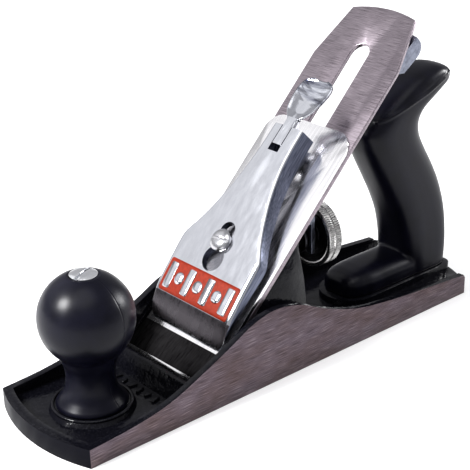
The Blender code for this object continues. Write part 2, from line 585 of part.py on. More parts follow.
def make_frog():
    frog = prism(frog_side(), -FROG_HALF, FROG_HALF, "Y")
    keep_inside(frog, prism(frog_face(), -120 * MM, 20 * MM, matrix=bed_matrix()))
    cut(frog, prism(frog_hollow(), -FROG_POCKET_HALF, FROG_POCKET_HALF, "Y"))
    ear_low, ear_high = YOKE_AT - 4.5 * MM, YOKE_AT + 4.5 * MM
    ear = [(-ear_low, -4 * MM), (-ear_high, -4 * MM), (-ear_high, -YOKE_PIN_DEPTH - 3 * MM),
           (-ear_low, -YOKE_PIN_DEPTH - 3 * MM)]
    for low, high in ((6.5 * MM, 10.5 * MM), (-10.5 * MM, -6.5 * MM)):
        fuse(frog, prism(ear, low, high, "Y", matrix=bed_matrix()))
    boss_low, boss_high = DEPTH_AXIS_HEIGHT - 6 * MM, DEPTH_AXIS_HEIGHT + 6 * MM
    boss_back = FROG_BACK - 0.5 * MM
    boss = [(boss_back, boss_low), (stud_root() + 4 * MM, boss_low), (stud_root() + 4 * MM, DEPTH_AXIS_HEIGHT),
            (stud_root() - 4 * MM, boss_high), (boss_back, boss_high)]
    fuse(frog, prism(boss, -6 * MM, 6 * MM, "Y"))
    pad = [(FROG_BACK + MM, 17 * MM), (FROG_BACK - 3 * MM, 17 * MM), (FROG_BACK - 3 * MM, FROG_BLOCK_HEIGHT),
           (FROG_BACK + MM, FROG_BLOCK_HEIGHT)]
    fuse(frog, prism(pad, -6.5 * MM, 6.5 * MM, "Y"))
    channel = [(FROG_BACK - 5 * MM, 0), (FROG_SCREW_X + 2.4 * MM, 0), (FROG_SCREW_X + 2.4 * MM, RIB_HEIGHT + 0.8 * MM),
               (FROG_BACK - 5 * MM, RIB_HEIGHT + 0.8 * MM)]
    cut(frog, prism(channel, -RIB_HALF - 0.8 * MM, RIB_HALF + 0.8 * MM, "Y"))
    play = FROG_TRAVEL + GAP
    for side in (-1, 1):
        centre = (FROG_SCREW_X, side * FROG_SCREW_SPREAD)
        cut(frog, prism(x_slot(centre, FROG_WASHER + 0.8 * MM, play), FROG_LEDGE, 60 * MM))
        cut(frog, prism(x_slot(centre, FROG_SCREW_RADIUS + GAP, play), 0, 60 * MM))
    swing = LATERAL_THICK + LATERAL_SINK + GAP
    top_step = [(-(ROLLER_AT - ROLLER_RADIUS - 2 * MM), -30 * MM), (-(FROG_TOP + 5 * MM), -30 * MM),
                (-(FROG_TOP + 5 * MM), 30 * MM), (-(ROLLER_AT - ROLLER_RADIUS - 2 * MM), 30 * MM)]
    cut(frog, prism(top_step, -swing, 20 * MM, matrix=bed_matrix()))
    screw_play = CAP_SCREW_HEAD + 1.6 * MM
    recess = slot_outline(CAP_SCREW_AT - screw_play, YOKE_AT + 3.6 * MM, screw_play)
    cut(frog, prism(recess, -CAP_SCREW_HEAD_THICK - 1.4 * MM, 20 * MM, matrix=bed_matrix()))
    blade = YOKE_BLADE_THICK / 2 + 2.4 * MM
    opening = [(-(YOKE_AT - blade), -YOKE_BLADE_HALF - 0.6 * MM), (-(YOKE_AT - blade), YOKE_BLADE_HALF + 0.6 * MM),
               (-(YOKE_AT + blade), YOKE_BLADE_HALF + 0.6 * MM), (-(YOKE_AT + blade), -YOKE_BLADE_HALF - 0.6 * MM)]
    cut(frog, prism(opening, -20 * MM, 20 * MM, matrix=bed_matrix()))
    cut(frog, rod(LEVER_SCREW_RADIUS + RUN, -6.5 * MM, 20 * MM, matrix=bed_matrix(s=LEVER_SCREW_AT)))
    cut(frog, rod(RIVET_RADIUS + RUN, -6.5 * MM, 20 * MM, matrix=bed_matrix(s=LATERAL_AT)))
    pin = on_bed(YOKE_AT, -YOKE_PIN_DEPTH)
    cut(frog, rod(YOKE_PIN_RADIUS + RUN, -11 * MM, 11 * MM, matrix=axis_y(pin)))
    cut(frog, rod(STUD_RADIUS + RUN, -60 * MM, stud_root() + GAP, matrix=axis_x(0, 0, DEPTH_AXIS_HEIGHT)))
    cut(frog, rod(1.4 * MM + RUN, -10 * MM, 6 * MM, matrix=axis_x(FROG_BACK, 0, 21 * MM)))
    return dress(frog, "frog", (0.02, 0.02, 0.025), 0.3)


def x_slot(centre, radius, play, steps=8):
    right = arc((centre[0] + play, centre[1]), radius, -90, 90, steps)
    left = arc((centre[0] - play, centre[1]), radius, 90, 270, steps)
    return right + left


def axis_y(point):
    """A frame at a point whose z axis points along +Y."""
    return Matrix.Translation(point) @ Matrix.Rotation(-math.pi / 2, 4, "X")


def frog_screw_places():
    """The two screws' names and frames, left then right."""
    return [(side, Matrix.Translation((FROG_SCREW_X, sign * FROG_SCREW_SPREAD, 0)))
            for side, sign in (("left", 1), ("right", -1))]


def make_frog_screws():
    low = FROG_LEDGE + 1.6 * MM
    high = low + 3.4 * MM
    profile = [(0, BLIND + GAP), (FROG_SCREW_RADIUS, BLIND + GAP), (FROG_SCREW_RADIUS, low),
               (FROG_SCREW_HEAD, low), (FROG_SCREW_HEAD, high - MM), (FROG_SCREW_HEAD * 0.75, high), (0, high)]
    for side, place in frog_screw_places():
        screw = turned(profile, matrix=place, steps=20)
        slotted_head(screw, 7 * MM, 0.6 * MM, high - 1.3 * MM, high + MM, place)
        dress(screw, "frog_screw_" + side, (0.5, 0.5, 0.52), 0.35, 1.0)


def make_frog_washers():
    low = FROG_LEDGE + GAP
    profile = [(FROG_SCREW_RADIUS + GAP, low), (FROG_WASHER, low), (FROG_WASHER, low + MM),
               (FROG_SCREW_RADIUS + GAP, low + MM)]
    for side, place in frog_screw_places():
        dress(turned(profile, matrix=place, steps=20), "frog_washer_" + side, (0.55, 0.55, 0.56), 0.35, 1.0)


def make_frog_adjusting_screw():
    core = 2.6 * MM
    back = -8.0 * MM
    profile = [(0, back), (ADJUSTER_HEAD, back), (ADJUSTER_HEAD, back + 3.4 * MM), (core, back + 3.4 * MM),
               (core, back + 5.0 * MM), (ADJUSTER_HEAD, back + 5.0 * MM), (ADJUSTER_HEAD, back + 6.4 * MM),
               (ADJUSTER_RADIUS, back + 6.4 * MM), (ADJUSTER_RADIUS, 22 * MM), (0, 22 * MM)]
    place = axis_x(FROG_BACK, 0, ADJUSTER_HEIGHT)
    screw = turned(profile, matrix=place, steps=24)
    slotted_head(screw, 6 * MM, 0.55 * MM, back - MM, back + 1.4 * MM, place)
    return dress(screw, "frog_adjusting_screw", (0.55, 0.5, 0.35), 0.35, 1.0)


def make_frog_clip():
    back = FROG_BACK - 3 * MM - GAP
    notch = 2.6 * MM + GAP
    outline = [(-notch, 6.5 * MM), (-5 * MM, 6.5 * MM), (-5 * MM, FROG_BLOCK_HEIGHT), (5 * MM, FROG_BLOCK_HEIGHT),
               (5 * MM, 6.5 * MM), (notch, 6.5 * MM)]
    outline = [(y, z) for y, z in outline] + arc((0, ADJUSTER_HEIGHT), notch, 0, 180, 8)
    # the outline is drawn in YZ, so the prism is raised along X
    turn = Matrix.Translation((back - MM, 0, 0)) @ Matrix(((0, 0, 1, 0), (1, 0, 0, 0), (0, 1, 0, 0), (0, 0, 0, 1)))
    clip = prism(outline, 0, MM, matrix=turn)
    cut(clip, rod(1.4 * MM + RUN, -20 * MM, 20 * MM, matrix=axis_x(FROG_BACK, 0, 21 * MM), steps=16))
    return dress(clip, "frog_clip", (0.5, 0.5, 0.52), 0.35, 1.0)


def make_frog_clip_screw():
    seat = -3 * MM - 2 * GAP - MM
    profile = [(0, seat - 1.6 * MM), (2.0 * MM, seat - 1.6 * MM), (2.9 * MM, seat - 0.8 * MM), (2.9 * MM, seat),
               (1.4 * MM, seat), (1.4 * MM, 5 * MM), (0, 5 * MM)]
    place = axis_x(FROG_BACK, 0, 21 * MM)
    screw = turned(profile, matrix=place, steps=16)
    slotted_head(screw, 4 * MM, 0.4 * MM, seat - 3 * MM, seat - 0.9 * MM, place)
    return dress(screw, "frog_clip_screw", (0.5, 0.5, 0.52), 0.35, 1.0)


# ================================================================ depth adjuster
def stud_root():
    """How far forward the stud reaches: the back of the bed plate, clear of the lever cap's screw."""
    return MOUTH_X - DEPTH_AXIS_HEIGHT / math.tan(BED_ANGLE) - FROG_PLATE / SIN


def make_depth_stud():
    low, high = WHEEL_BACK - 5 * MM, stud_root()
    profile = [(0, low), (STUD_RADIUS - 0.5 * MM, low), (STUD_RADIUS, low + 0.6 * MM), (STUD_RADIUS, high), (0, high)]
    stud = turned(profile, matrix=axis_x(0, 0, DEPTH_AXIS_HEIGHT), steps=20)
    return dress(stud, "depth_stud", (0.5, 0.5, 0.5), 0.35, 1.0)


def depth_frame():
    return axis_x(0, 0, DEPTH_AXIS_HEIGHT)


def make_depth_bush():
    bore = STUD_RADIUS + RUN
    tail = WHEEL_BACK - GAP
    profile = [(bore, GROOVE_FRONT + FLANGE_THICK), (bore, tail - 1.1 * MM), (6 * MM, tail - 1.1 * MM),
               (6 * MM, tail), (BUSH_CORE, tail), (BUSH_CORE, WHEEL_FRONT + GAP), (BUSH_FLANGE, WHEEL_FRONT + GAP),
               (BUSH_FLANGE, GROOVE_BACK), (BUSH_CORE, GROOVE_BACK), (BUSH_CORE, GROOVE_FRONT),
               (BUSH_FLANGE, GROOVE_FRONT), (BUSH_FLANGE, GROOVE_FRONT + FLANGE_THICK)]
    return dress(turned(profile, matrix=depth_frame()), "depth_bush", (0.65, 0.5, 0.25), 0.35, 1.0)


def make_depth_wheel():
    bore = BUSH_CORE + RUN
    rim = WHEEL_RADIUS
    mid = (WHEEL_FRONT + WHEEL_BACK) / 2
    web_front = WHEEL_FRONT - MM
    web_back = web_front - WHEEL_WEB
    profile = [(bore, WHEEL_BACK), (8 * MM, WHEEL_BACK), (8 * MM, web_back), (rim - 3 * MM, web_back),
               (rim - 3 * MM, WHEEL_BACK), (rim - 0.5 * MM, WHEEL_BACK), (rim, WHEEL_BACK + 0.5 * MM),
               (rim, mid - 0.6 * MM), (rim - 0.7 * MM, mid - 0.3 * MM), (rim - 0.7 * MM, mid + 0.3 * MM),
               (rim, mid + 0.6 * MM), (rim, WHEEL_FRONT - 0.5 * MM), (rim - 0.5 * MM, WHEEL_FRONT),
               (rim - 3 * MM, WHEEL_FRONT), (rim - 3.4 * MM, web_front), (8.4 * MM, web_front),
               (8 * MM, WHEEL_FRONT), (bore, WHEEL_FRONT)]
    return dress(turned(profile, matrix=depth_frame(), steps=56), "depth_wheel", (0.7, 0.7, 0.7), 0.3, 1.0)


def make_depth_yoke():
    pin = on_bed(YOKE_AT, -YOKE_PIN_DEPTH)
    tine_low = DEPTH_AXIS_HEIGHT - 6 * MM
    top = pin.z + 5.3 * MM
    web = top - 3.2 * MM
    arm = [(TINE_BACK, web), (TINE_BACK, top), (pin.x - 4.6 * MM, top), (pin.x - 0.5 * MM, pin.z + 2.2 * MM),
           (pin.x - 0.5 * MM, pin.z - 1.8 * MM), (pin.x - 6.5 * MM, web)]
    yoke = prism(arm, -8.4 * MM, 8.4 * MM, "Y", matrix=Matrix())
    narrow = [(pin.x - 7 * MM, pin.z - 30 * MM), (pin.x + 30 * MM, pin.z - 30 * MM),
              (pin.x + 30 * MM, pin.z + 30 * MM), (pin.x - 7 * MM, pin.z + 30 * MM)]
    for low, high in ((6.1 * MM, 20 * MM), (-20 * MM, -6.1 * MM)):
        cut(yoke, prism(narrow, low, high, "Y"))
    tine = [(TINE_BACK, tine_low), (TINE_FRONT, tine_low), (TINE_FRONT, top), (TINE_BACK, top)]
    inner = BUSH_CORE + 0.35 * MM
    for low, high in ((inner, 8.4 * MM), (-8.4 * MM, -inner)):
        fuse(yoke, prism(tine, low, high, "Y"))
    fuse(yoke, rod(4 * MM, -6.1 * MM, 6.1 * MM, matrix=axis_y(pin)))
    half = YOKE_BLADE_THICK / 2
    tip = CAP_IRON_FACE - GAP
    blade = [(-(YOKE_AT - half), -YOKE_PIN_DEPTH), (-(YOKE_AT - half), tip - MM), (-(YOKE_AT - half + 0.6 * MM), tip),
             (-(YOKE_AT + half - 0.6 * MM), tip), (-(YOKE_AT + half), tip - MM), (-(YOKE_AT + half), -YOKE_PIN_DEPTH)]
    fuse(yoke, prism(blade, -YOKE_BLADE_HALF, YOKE_BLADE_HALF, "Y", matrix=bed_matrix()))
    cut(yoke, rod(YOKE_PIN_RADIUS + RUN, -20 * MM, 20 * MM, matrix=axis_y(pin)))
    set_origin(yoke, pin)
    return dress(yoke, "depth_yoke", (0.35, 0.35, 0.36), 0.4, 1.0)


def set_origin(obj, point):
    """Moves an object's origin to a point and leaves its shape where it is."""
    obj.data.transform(Matrix.Translation(point).inverted() @ obj.matrix_world)
    obj.matrix_world = Matrix.Translation(point)


def make_yoke_pin():
    pin = rod(YOKE_PIN_RADIUS, -10.3 * MM, 10.3 * MM, matrix=axis_y(on_bed(YOKE_AT, -YOKE_PIN_DEPTH)), steps=16)
    return dress(pin, "yoke_pin", (0.5, 0.5, 0.5), 0.35, 1.0)


# ================================================================ lateral lever
def lateral_frame(turn=LATERAL_REST):
    """The lever's own frame: its z is the bed's normal through the pivot."""
    return bed_matrix(-turn, LATERAL_AT)


def make_lateral_lever():
    high = -LATERAL_SINK
    low = high - LATERAL_THICK
    arm = LATERAL_TOP - LATERAL_AT
    tail = ROLLER_ARM + 4.6 * MM
    foot = arc((tail - 5 * MM, 0), 5 * MM, -90, 90, 8)
    tab_low = arm - LATERAL_TAB_LENGTH
    outline = foot + [(0, 5.4 * MM), (-8 * MM, LATERAL_HALF), (-arm, LATERAL_HALF), (-arm, -LATERAL_HALF),
                      (-8 * MM, -LATERAL_HALF), (0, -5.4 * MM)]
    lever = prism(outline, low, high, matrix=lateral_frame())
    deep = -LATERAL_TAB_DEPTH
    corner = arc((-arm + 6 * MM, deep + 6 * MM), 6 * MM, 180, 270, 5)
    tab = [(-arm, high)] + corner + [(-tab_low - 4 * MM, deep), (-tab_low, deep + 4 * MM), (-tab_low, high)]
    fuse(lever, prism(tab, LATERAL_HALF - LATERAL_THICK, LATERAL_HALF, "Y", matrix=lateral_frame()))
    cut(lever, rod(RIVET_RADIUS + RUN, -20 * MM, 20 * MM, matrix=lateral_frame(), steps=16))
    hole = lateral_frame() @ Matrix.Translation((ROLLER_ARM, 0, 0))
    cut(lever, rod(RIVET_RADIUS + RUN, -20 * MM, 20 * MM, matrix=hole, steps=16))
    return dress(lever, "lateral_lever", (0.45, 0.46, 0.5), 0.35, 1.0)


def make_lateral_roller():
    low = -LATERAL_SINK + GAP
    profile = [(0, -LATERAL_SINK - LATERAL_THICK), (RIVET_RADIUS, -LATERAL_SINK - LATERAL_THICK),
               (RIVET_RADIUS, low), (ROLLER_RADIUS, low), (ROLLER_RADIUS, IRON_FACE - GAP), (0, IRON_FACE - GAP)]
    place = lateral_frame() @ Matrix.Translation((ROLLER_ARM, 0, 0))
    return dress(turned(profile, matrix=place, steps=28), "lateral_roller", (0.5, 0.5, 0.5), 0.3, 1.0)


def make_lateral_rivet():
    high = -LATERAL_SINK + GAP
    profile = [(0, -6 * MM), (RIVET_RADIUS, -6 * MM), (RIVET_RADIUS, high - 0.15 * MM), (0, high - 0.15 * MM)]
    return dress(turned(profile, matrix=lateral_frame(), steps=16), "lateral_rivet", (0.5, 0.5, 0.5), 0.35, 1.0)


# ================================================================ plane iron and cap iron
def iron_outline():
    half = IRON_WIDTH / 2
    crown = IRON_TOP - 2.6 * MM
    radius = (IRON_TOP_HALF ** 2 + (IRON_TOP - crown) ** 2) / (2 * (IRON_TOP - crown))
    sweep = math.degrees(math.asin(IRON_TOP_HALF / radius))
    top = arc((-(IRON_TOP - radius), 0), radius, 180 - sweep, 180 + sweep, 8)
    return [(-IRON_EDGE, -half), (-IRON_EDGE, half), (-IRON_SHOULDER, half)] + top + [(-IRON_SHOULDER, -half)]


def make_plane_iron():
    skewed = bed_matrix(-IRON_SKEW)
    iron = prism(iron_outline(), GAP, IRON_FACE, matrix=skewed)
    rise = 6 * MM
    wedge = [(-IRON_EDGE, IRON_FACE), (-IRON_EDGE - rise / math.tan(IRON_BEVEL), IRON_FACE - rise),
             (-IRON_EDGE + 4 * MM, IRON_FACE - rise), (-IRON_EDGE + 4 * MM, IRON_FACE)]
    cut(iron, prism(wedge, -IRON_WIDTH, IRON_WIDTH, "Y", matrix=skewed))
    cut(iron, prism(slot_outline(IRON_SLOT_LOW - 2 * MM, IRON_SLOT_TOP, IRON_SLOT / 2), -MM, 9 * MM, matrix=skewed))
    eye = circle((-IRON_SLOT_LOW - 3 * MM, 0), IRON_EYE_RADIUS)
    cut(iron, prism(eye, -MM, 9 * MM, matrix=skewed))
    return dress(iron, "plane_iron", (0.36, 0.33, 0.34), 0.4, 1.0)


def cap_iron_side():
    """The cap iron's side outline, a springy hump by the edge and a flat plate behind it."""
    humps = [(33, 0), (25, 0.2), (20, 0.7), (15.5, 1.5), (10.5, 2.3), (6.5, 2.2), (3.0, 0.7)]
    upper = smooth([(s * MM, CAP_IRON_FACE + rise * MM) for s, rise in humps], 3)
    upper = [(CAP_IRON_TOP, CAP_IRON_FACE)] + upper + [(IRON_EDGE + 1.6 * MM, CAP_IRON_BACK + 0.3 * MM)]
    humps = [(25, 0.2), (20, 0.7), (15.5, 1.5), (10.5, 2.3), (6.5, 2.2), (4.2, 1.1), (2.8, 0)]
    lower = [(s * MM, CAP_IRON_BACK + rise * MM) for s, rise in humps]
    lower = [(CAP_IRON_TOP, CAP_IRON_BACK), (33 * MM, CAP_IRON_BACK)] + lower
    lower.append((IRON_EDGE + 1.6 * MM, CAP_IRON_BACK))
    return [(-s, t) for s, t in upper[::-1] + lower]


def make_cap_iron():
    skewed = bed_matrix(-IRON_SKEW)
    half = IRON_WIDTH / 2
    plate = prism(cap_iron_side(), -half, half, "Y", matrix=skewed)
    r = CAP_IRON_CORNER
    corner = arc((-CAP_IRON_TOP + r, half - r), r, 90, 180, 6)
    taper = [(-(CAP_IRON_TOP - 2.2 * r), half)]
    face = [(20 * MM, half)] + taper + corner
    face = face + [(x, -y) for x, y in reversed(face)]
    keep_inside(plate, prism(face, -20 * MM, 20 * MM, matrix=skewed))
    reach = 7.0 * MM
    cut(plate, prism(slot_outline(LEVER_SCREW_AT - reach, LEVER_SCREW_AT + 5.2 * MM, 5.0 * MM), -MM, 20 * MM,
                     matrix=bed_matrix()))
    place = bed_matrix(s=CAP_SCREW_AT)
    cut(plate, rod(CAP_SCREW_SHANK + RUN, -MM, 20 * MM, matrix=place))
    half_t = YOKE_BLADE_THICK / 2 + 0.4 * MM
    half_y = YOKE_BLADE_HALF + 0.5 * MM
    notch = [(-(YOKE_AT - half_t), -half_y), (-(YOKE_AT - half_t), half_y), (-(YOKE_AT + half_t), half_y),
             (-(YOKE_AT + half_t), -half_y)]
    cut(plate, prism(notch, -MM, 20 * MM, matrix=bed_matrix()))
    return dress(plate, "cap_iron", (0.6, 0.6, 0.6), 0.3, 1.0)


def make_cap_iron_screw():
    profile = [(0, -CAP_SCREW_HEAD_THICK), (CAP_SCREW_HEAD - 0.8 * MM, -CAP_SCREW_HEAD_THICK),
               (CAP_SCREW_HEAD, -CAP_SCREW_HEAD_THICK + 0.9 * MM), (CAP_SCREW_HEAD, 0), (CAP_SCREW_SHANK, 0),
               (CAP_SCREW_SHANK, CAP_IRON_FACE - 0.2 * MM), (0, CAP_IRON_FACE - 0.2 * MM)]
    place = bed_matrix(s=CAP_SCREW_AT)
    screw = turned(profile, matrix=place)
    slotted_head(screw, 8 * MM, 0.7 * MM, -CAP_SCREW_HEAD_THICK - MM, -CAP_SCREW_HEAD_THICK + 1.3 * MM, place)
    return dress(screw, "cap_iron_screw", (0.55, 0.55, 0.55), 0.35, 1.0)


# ================================================================ lever cap
CAP_CREST = [(s * MM, CAP_IRON_FACE + rise * MM) for s, rise in (
    (CAP_LOW / MM, 1.7), (28, 4.6), (34, 7.6), (42, 9.0), (50, 9.9), (58, 10.6), (66, 11.3), (75, 12.2), (91, 13.6),
    (105, 14.4), (CAP_HIGH / MM, 14.6))]
CAP_SIDE = [(CAP_LOW, CAP_HALF - 3.6 * MM), (26 * MM, CAP_HALF - 1.2 * MM), (30 * MM, CAP_HALF - 0.3 * MM),
            (36 * MM, CAP_HALF), (63 * MM, CAP_HALF), (69 * MM, 21.8 * MM), (74 * MM, 19.2 * MM),
            (80 * MM, 16.7 * MM), (91 * MM, 13.0 * MM), (103 * MM, 10.4 * MM), (113 * MM, CAP_TOP_HALF),
            (CAP_HIGH, CAP_TOP_HALF - 0.3 * MM)]
CAP_STATIONS = [CAP_LOW / MM, 26, 30, 34, 37, 42, 50, 58, 63, 66, 69, 74, 80, 86, 91, 97, 103, 108, 113, 119,
                CAP_HIGH / MM]


def cap_section(s, inner):
    """The lever cap's cross-section: a crowned top, rounded shoulders and side walls down to the skirt's foot."""
    crest, half = along(CAP_CREST, s), along(CAP_SIDE, s)
    foot = min(CAP_SKIRT_FOOT, crest - 0.9 * MM)
    if inner:
        half, crest, foot = half - CAP_WALL, crest - CAP_PLATE, CAP_SKIRT_FOOT - 5 * MM
    shoulder = min(2.0 * MM, (crest - foot) * 0.8)
    ring = [(-s, -half, foot)]
    ring += [(-s, -half + shoulder * (1 - math.cos(a)), crest - 0.6 * MM - shoulder * (1 - math.sin(a)))
             for a in (0, math.pi / 6, math.pi / 3, math.pi / 2)]
    for share in (-0.5, 0, 0.5):
        ring.append((-s, share * (half - shoulder), crest - 0.6 * MM * (2 * share) ** 2 * 0.6))
    ring += [(x, -y, z) for x, y, z in reversed(ring[:5])]
    return ring


def make_lever_cap():
    rings = [cap_section(s * MM, False) for s in CAP_STATIONS]
    cap = loft(rings, matrix=bed_matrix())
    hollow = [cap_section(s * MM, True) for s in CAP_STATIONS if s >= 42]
    ends = [[(-x_end, y, z) for _, y, z in ring] for x_end, ring in ((40 * MM, hollow[0]), (CAP_HIGH + MM, hollow[-1]))]
    cut(cap, loft([ends[0]] + hollow[1:-1] + [ends[1]], matrix=bed_matrix()))
    # the pad that takes the spring's rivet, and the rib across the keyhole's foot
    pad_top = along(CAP_CREST, SPRING_FOOT) - MM
    fuse(cap, rod(3.4 * MM, spring_top() + GAP, pad_top, matrix=bed_matrix(s=SPRING_FOOT)))
    keyhole = circle((-KEYHOLE_AT, 0), KEYHOLE_RADIUS)
    cut(cap, prism(keyhole, -MM, 30 * MM, matrix=bed_matrix()))
    neck = slot_outline(KEYHOLE_AT, KEYHOLE_SLOT_END + KEYHOLE_SLOT_HALF, KEYHOLE_SLOT_HALF)
    cut(cap, prism(neck, -MM, 30 * MM, matrix=bed_matrix()))
    slot = [(-LEVER_SLOT_END, -LEVER_SLOT_HALF), (-LEVER_SLOT_END, LEVER_SLOT_HALF), (-(CAP_HIGH + MM), LEVER_SLOT_HALF),
            (-(CAP_HIGH + MM), -LEVER_SLOT_HALF)]
    cut(cap, prism(slot, -MM, 30 * MM, matrix=bed_matrix()))
    cut(cap, rod(CAM_PIN_RADIUS + RUN, -20 * MM, 20 * MM, matrix=cam_frame()))
    cut(cap, rod(RIVET_RADIUS + RUN, 0, spring_top() + 3 * MM, matrix=bed_matrix(s=SPRING_FOOT), steps=16))
    return dress(cap, "lever_cap", (0.8, 0.8, 0.82), 0.12, 1.0)


def spring_top():
    return CAM_HEIGHT - CAM_RADIUS - GAP


def cam_frame():
    """A frame on the cam pin, its z along +Y."""
    return axis_y(on_bed(CAM_AT, CAM_HEIGHT))


def make_cam_pin():
    half = CAP_TOP_HALF - 0.9 * MM
    return dress(rod(CAM_PIN_RADIUS, -half, half, matrix=cam_frame(), steps=16), "cam_pin", (0.6, 0.6, 0.6), 0.3, 1.0)


def make_cam_lever():
    """A narrow cam and stem in the cap's slot, and beyond it a hollow spoon for the thumb."""
    top = along(CAP_CREST, CAM_AT)
    relief = CAM_RADIUS - 0.8 * MM
    cam = arc((-CAM_AT, CAM_HEIGHT), CAM_RADIUS, 270, 230, 3)[::-1]
    nose = arc((-CAM_AT, CAM_HEIGHT), relief, -60, 60, 8)
    stem = [(-(CAM_AT - 3 * MM), top), (-127 * MM, top), (-131 * MM, top - 0.2 * MM), (-131 * MM, top - 2.4 * MM),
            (-127 * MM, top - 3 * MM), (-(CAM_AT + 5.4 * MM), CAM_HEIGHT - 2 * MM)]
    lever = prism(cam + nose + stem, -CAM_HALF, CAM_HALF, "Y", matrix=bed_matrix())
    rings = []
    for s, half, drop in ((128, 3.4, 0.2), (130, 6.0, 0.3), (134, 7.6, 0.8), (139, 8.8, 1.5), (144, 9.5, 2.2),
                          (148, 9.3, 2.7), (SPOON_LENGTH / MM, 7.4, 3.0)):
        rings.append(spoon_section(s * MM, half / 9.6 * SPOON_HALF, top - drop * MM))
    fuse(lever, loft(rings, matrix=bed_matrix()))
    cut(lever, rod(CAM_PIN_RADIUS + RUN, -20 * MM, 20 * MM, matrix=cam_frame()))
    set_origin(lever, on_bed(CAM_AT, CAM_HEIGHT))
    return dress(lever, "cam_lever", (0.8, 0.8, 0.82), 0.12, 1.0)


def spoon_section(s, half, crest):
    """A thin dished strip across the spoon: its edges stand higher than its middle."""
    thick, dish = 1.4 * MM, 1.6 * MM
    upper, lower = [], []
    for i in range(9):
        share = -1 + i / 4
        z = crest - dish * (1 - share ** 2)
        upper.append((-s, half * share, z))
        lower.append((-s, half * share, z - thick))
    return upper + lower[::-1]


def make_lever_cap_spring():
    top = spring_top()
    outline = [(-(SPRING_FOOT - 5 * MM), -SPRING_HALF), (-(SPRING_FOOT - 5 * MM), SPRING_HALF),
               (-(CAP_HIGH - 2 * MM), SPRING_HALF), (-(CAP_HIGH - 2 * MM), -SPRING_HALF)]
    spring = prism(outline, top - SPRING_THICK, top, matrix=bed_matrix())
    cut(spring, rod(RIVET_RADIUS + RUN, -MM, 20 * MM, matrix=bed_matrix(s=SPRING_FOOT), steps=16))
    return dress(spring, "lever_cap_spring", (0.4, 0.4, 0.45), 0.3, 1.0)


def make_spring_rivet():
    low = spring_top() - SPRING_THICK - GAP
    profile = [(0, low - MM), (2.2 * MM, low - MM), (2.8 * MM, low - 0.4 * MM), (2.8 * MM, low), (RIVET_RADIUS, low),
               (RIVET_RADIUS, spring_top() + 2.6 * MM), (0, spring_top() + 2.6 * MM)]
    return dress(turned(profile, matrix=bed_matrix(s=SPRING_FOOT), steps=16), "spring_rivet", (0.5, 0.5, 0.5), 0.35, 1.0)


def make_lever_cap_screw():
    seat = along(CAP_CREST, LEVER_SCREW_AT) + GAP
    rim = seat + 1.5 * MM
    dome = [(LEVER_SCREW_HEAD * 0.86, rim + 0.7 * MM), (LEVER_SCREW_HEAD * 0.5, rim + 1.4 * MM), (0, rim + 1.7 * MM)]
    profile = [(0, -6 * MM), (LEVER_SCREW_RADIUS, -6 * MM), (LEVER_SCREW_RADIUS, seat), (LEVER_SCREW_HEAD, seat),
               (LEVER_SCREW_HEAD, rim)] + dome
    place = bed_matrix(s=LEVER_SCREW_AT)
    screw = turned(profile, matrix=place)
    turn = place @ Matrix.Rotation(math.radians(35), 4, "Z")
    slotted_head(screw, 8 * MM, 0.6 * MM, rim + 0.1 * MM, rim + 4 * MM, turn)
    return dress(screw, "lever_cap_screw", (0.75, 0.75, 0.76), 0.2, 1.0)


def main():
    for old in list(bpy.data.objects):
        bpy.data.objects.remove(old)
    for make in (make_sole_body, make_knob, make_knob_screw, make_tote, make_tote_rod, make_tote_nut, make_frog,
                 make_frog_screws, make_frog_washers, make_frog_adjusting_screw, make_frog_clip,
                 make_frog_clip_screw, make_depth_stud, make_depth_bush, make_depth_wheel, make_depth_yoke,
                 make_yoke_pin, make_lateral_lever, make_lateral_roller, make_lateral_rivet, make_plane_iron,
                 make_cap_iron, make_cap_iron_screw, make_lever_cap, make_cam_lever, make_cam_pin,
                 make_lever_cap_spring, make_spring_rivet, make_lever_cap_screw):
        make()


main()
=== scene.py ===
# %% [markdown]
# # Dressing a smoothing plane
# The frame brings in a hand plane whose parts already fit and move. This lesson gives every part its look.
# Most parts are cast, ground, brushed, plated or moulded, so shape work means softening machined edges and
# making the three hand-shaped parts, knob, handle and lever cap, again with smooth surfaces.

# %% Tools and the frame
import json
import math
import bpy
import bmesh
from mathutils import Matrix, Vector


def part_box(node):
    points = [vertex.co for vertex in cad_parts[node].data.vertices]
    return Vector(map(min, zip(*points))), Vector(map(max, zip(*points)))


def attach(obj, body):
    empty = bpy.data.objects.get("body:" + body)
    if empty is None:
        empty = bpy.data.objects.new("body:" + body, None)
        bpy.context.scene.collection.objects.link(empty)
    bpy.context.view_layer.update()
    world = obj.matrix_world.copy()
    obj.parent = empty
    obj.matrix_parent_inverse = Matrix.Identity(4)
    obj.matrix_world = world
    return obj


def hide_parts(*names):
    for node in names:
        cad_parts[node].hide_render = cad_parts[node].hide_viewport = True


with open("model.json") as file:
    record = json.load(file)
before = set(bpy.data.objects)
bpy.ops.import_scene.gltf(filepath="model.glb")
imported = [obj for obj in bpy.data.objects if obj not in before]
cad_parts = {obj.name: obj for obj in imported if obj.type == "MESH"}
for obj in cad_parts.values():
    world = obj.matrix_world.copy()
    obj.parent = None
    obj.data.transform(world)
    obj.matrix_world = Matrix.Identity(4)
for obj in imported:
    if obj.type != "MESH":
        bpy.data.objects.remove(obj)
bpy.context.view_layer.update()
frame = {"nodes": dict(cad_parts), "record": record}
MM = 0.001

# %% [markdown]
# ## Where things are
# The iron lies on a bed tilted at 45 degrees. Places on it are given as a distance s up the bed from the mouth,
# a height t above the bed and a side step y, and one helper turns them into the frame's coordinates.

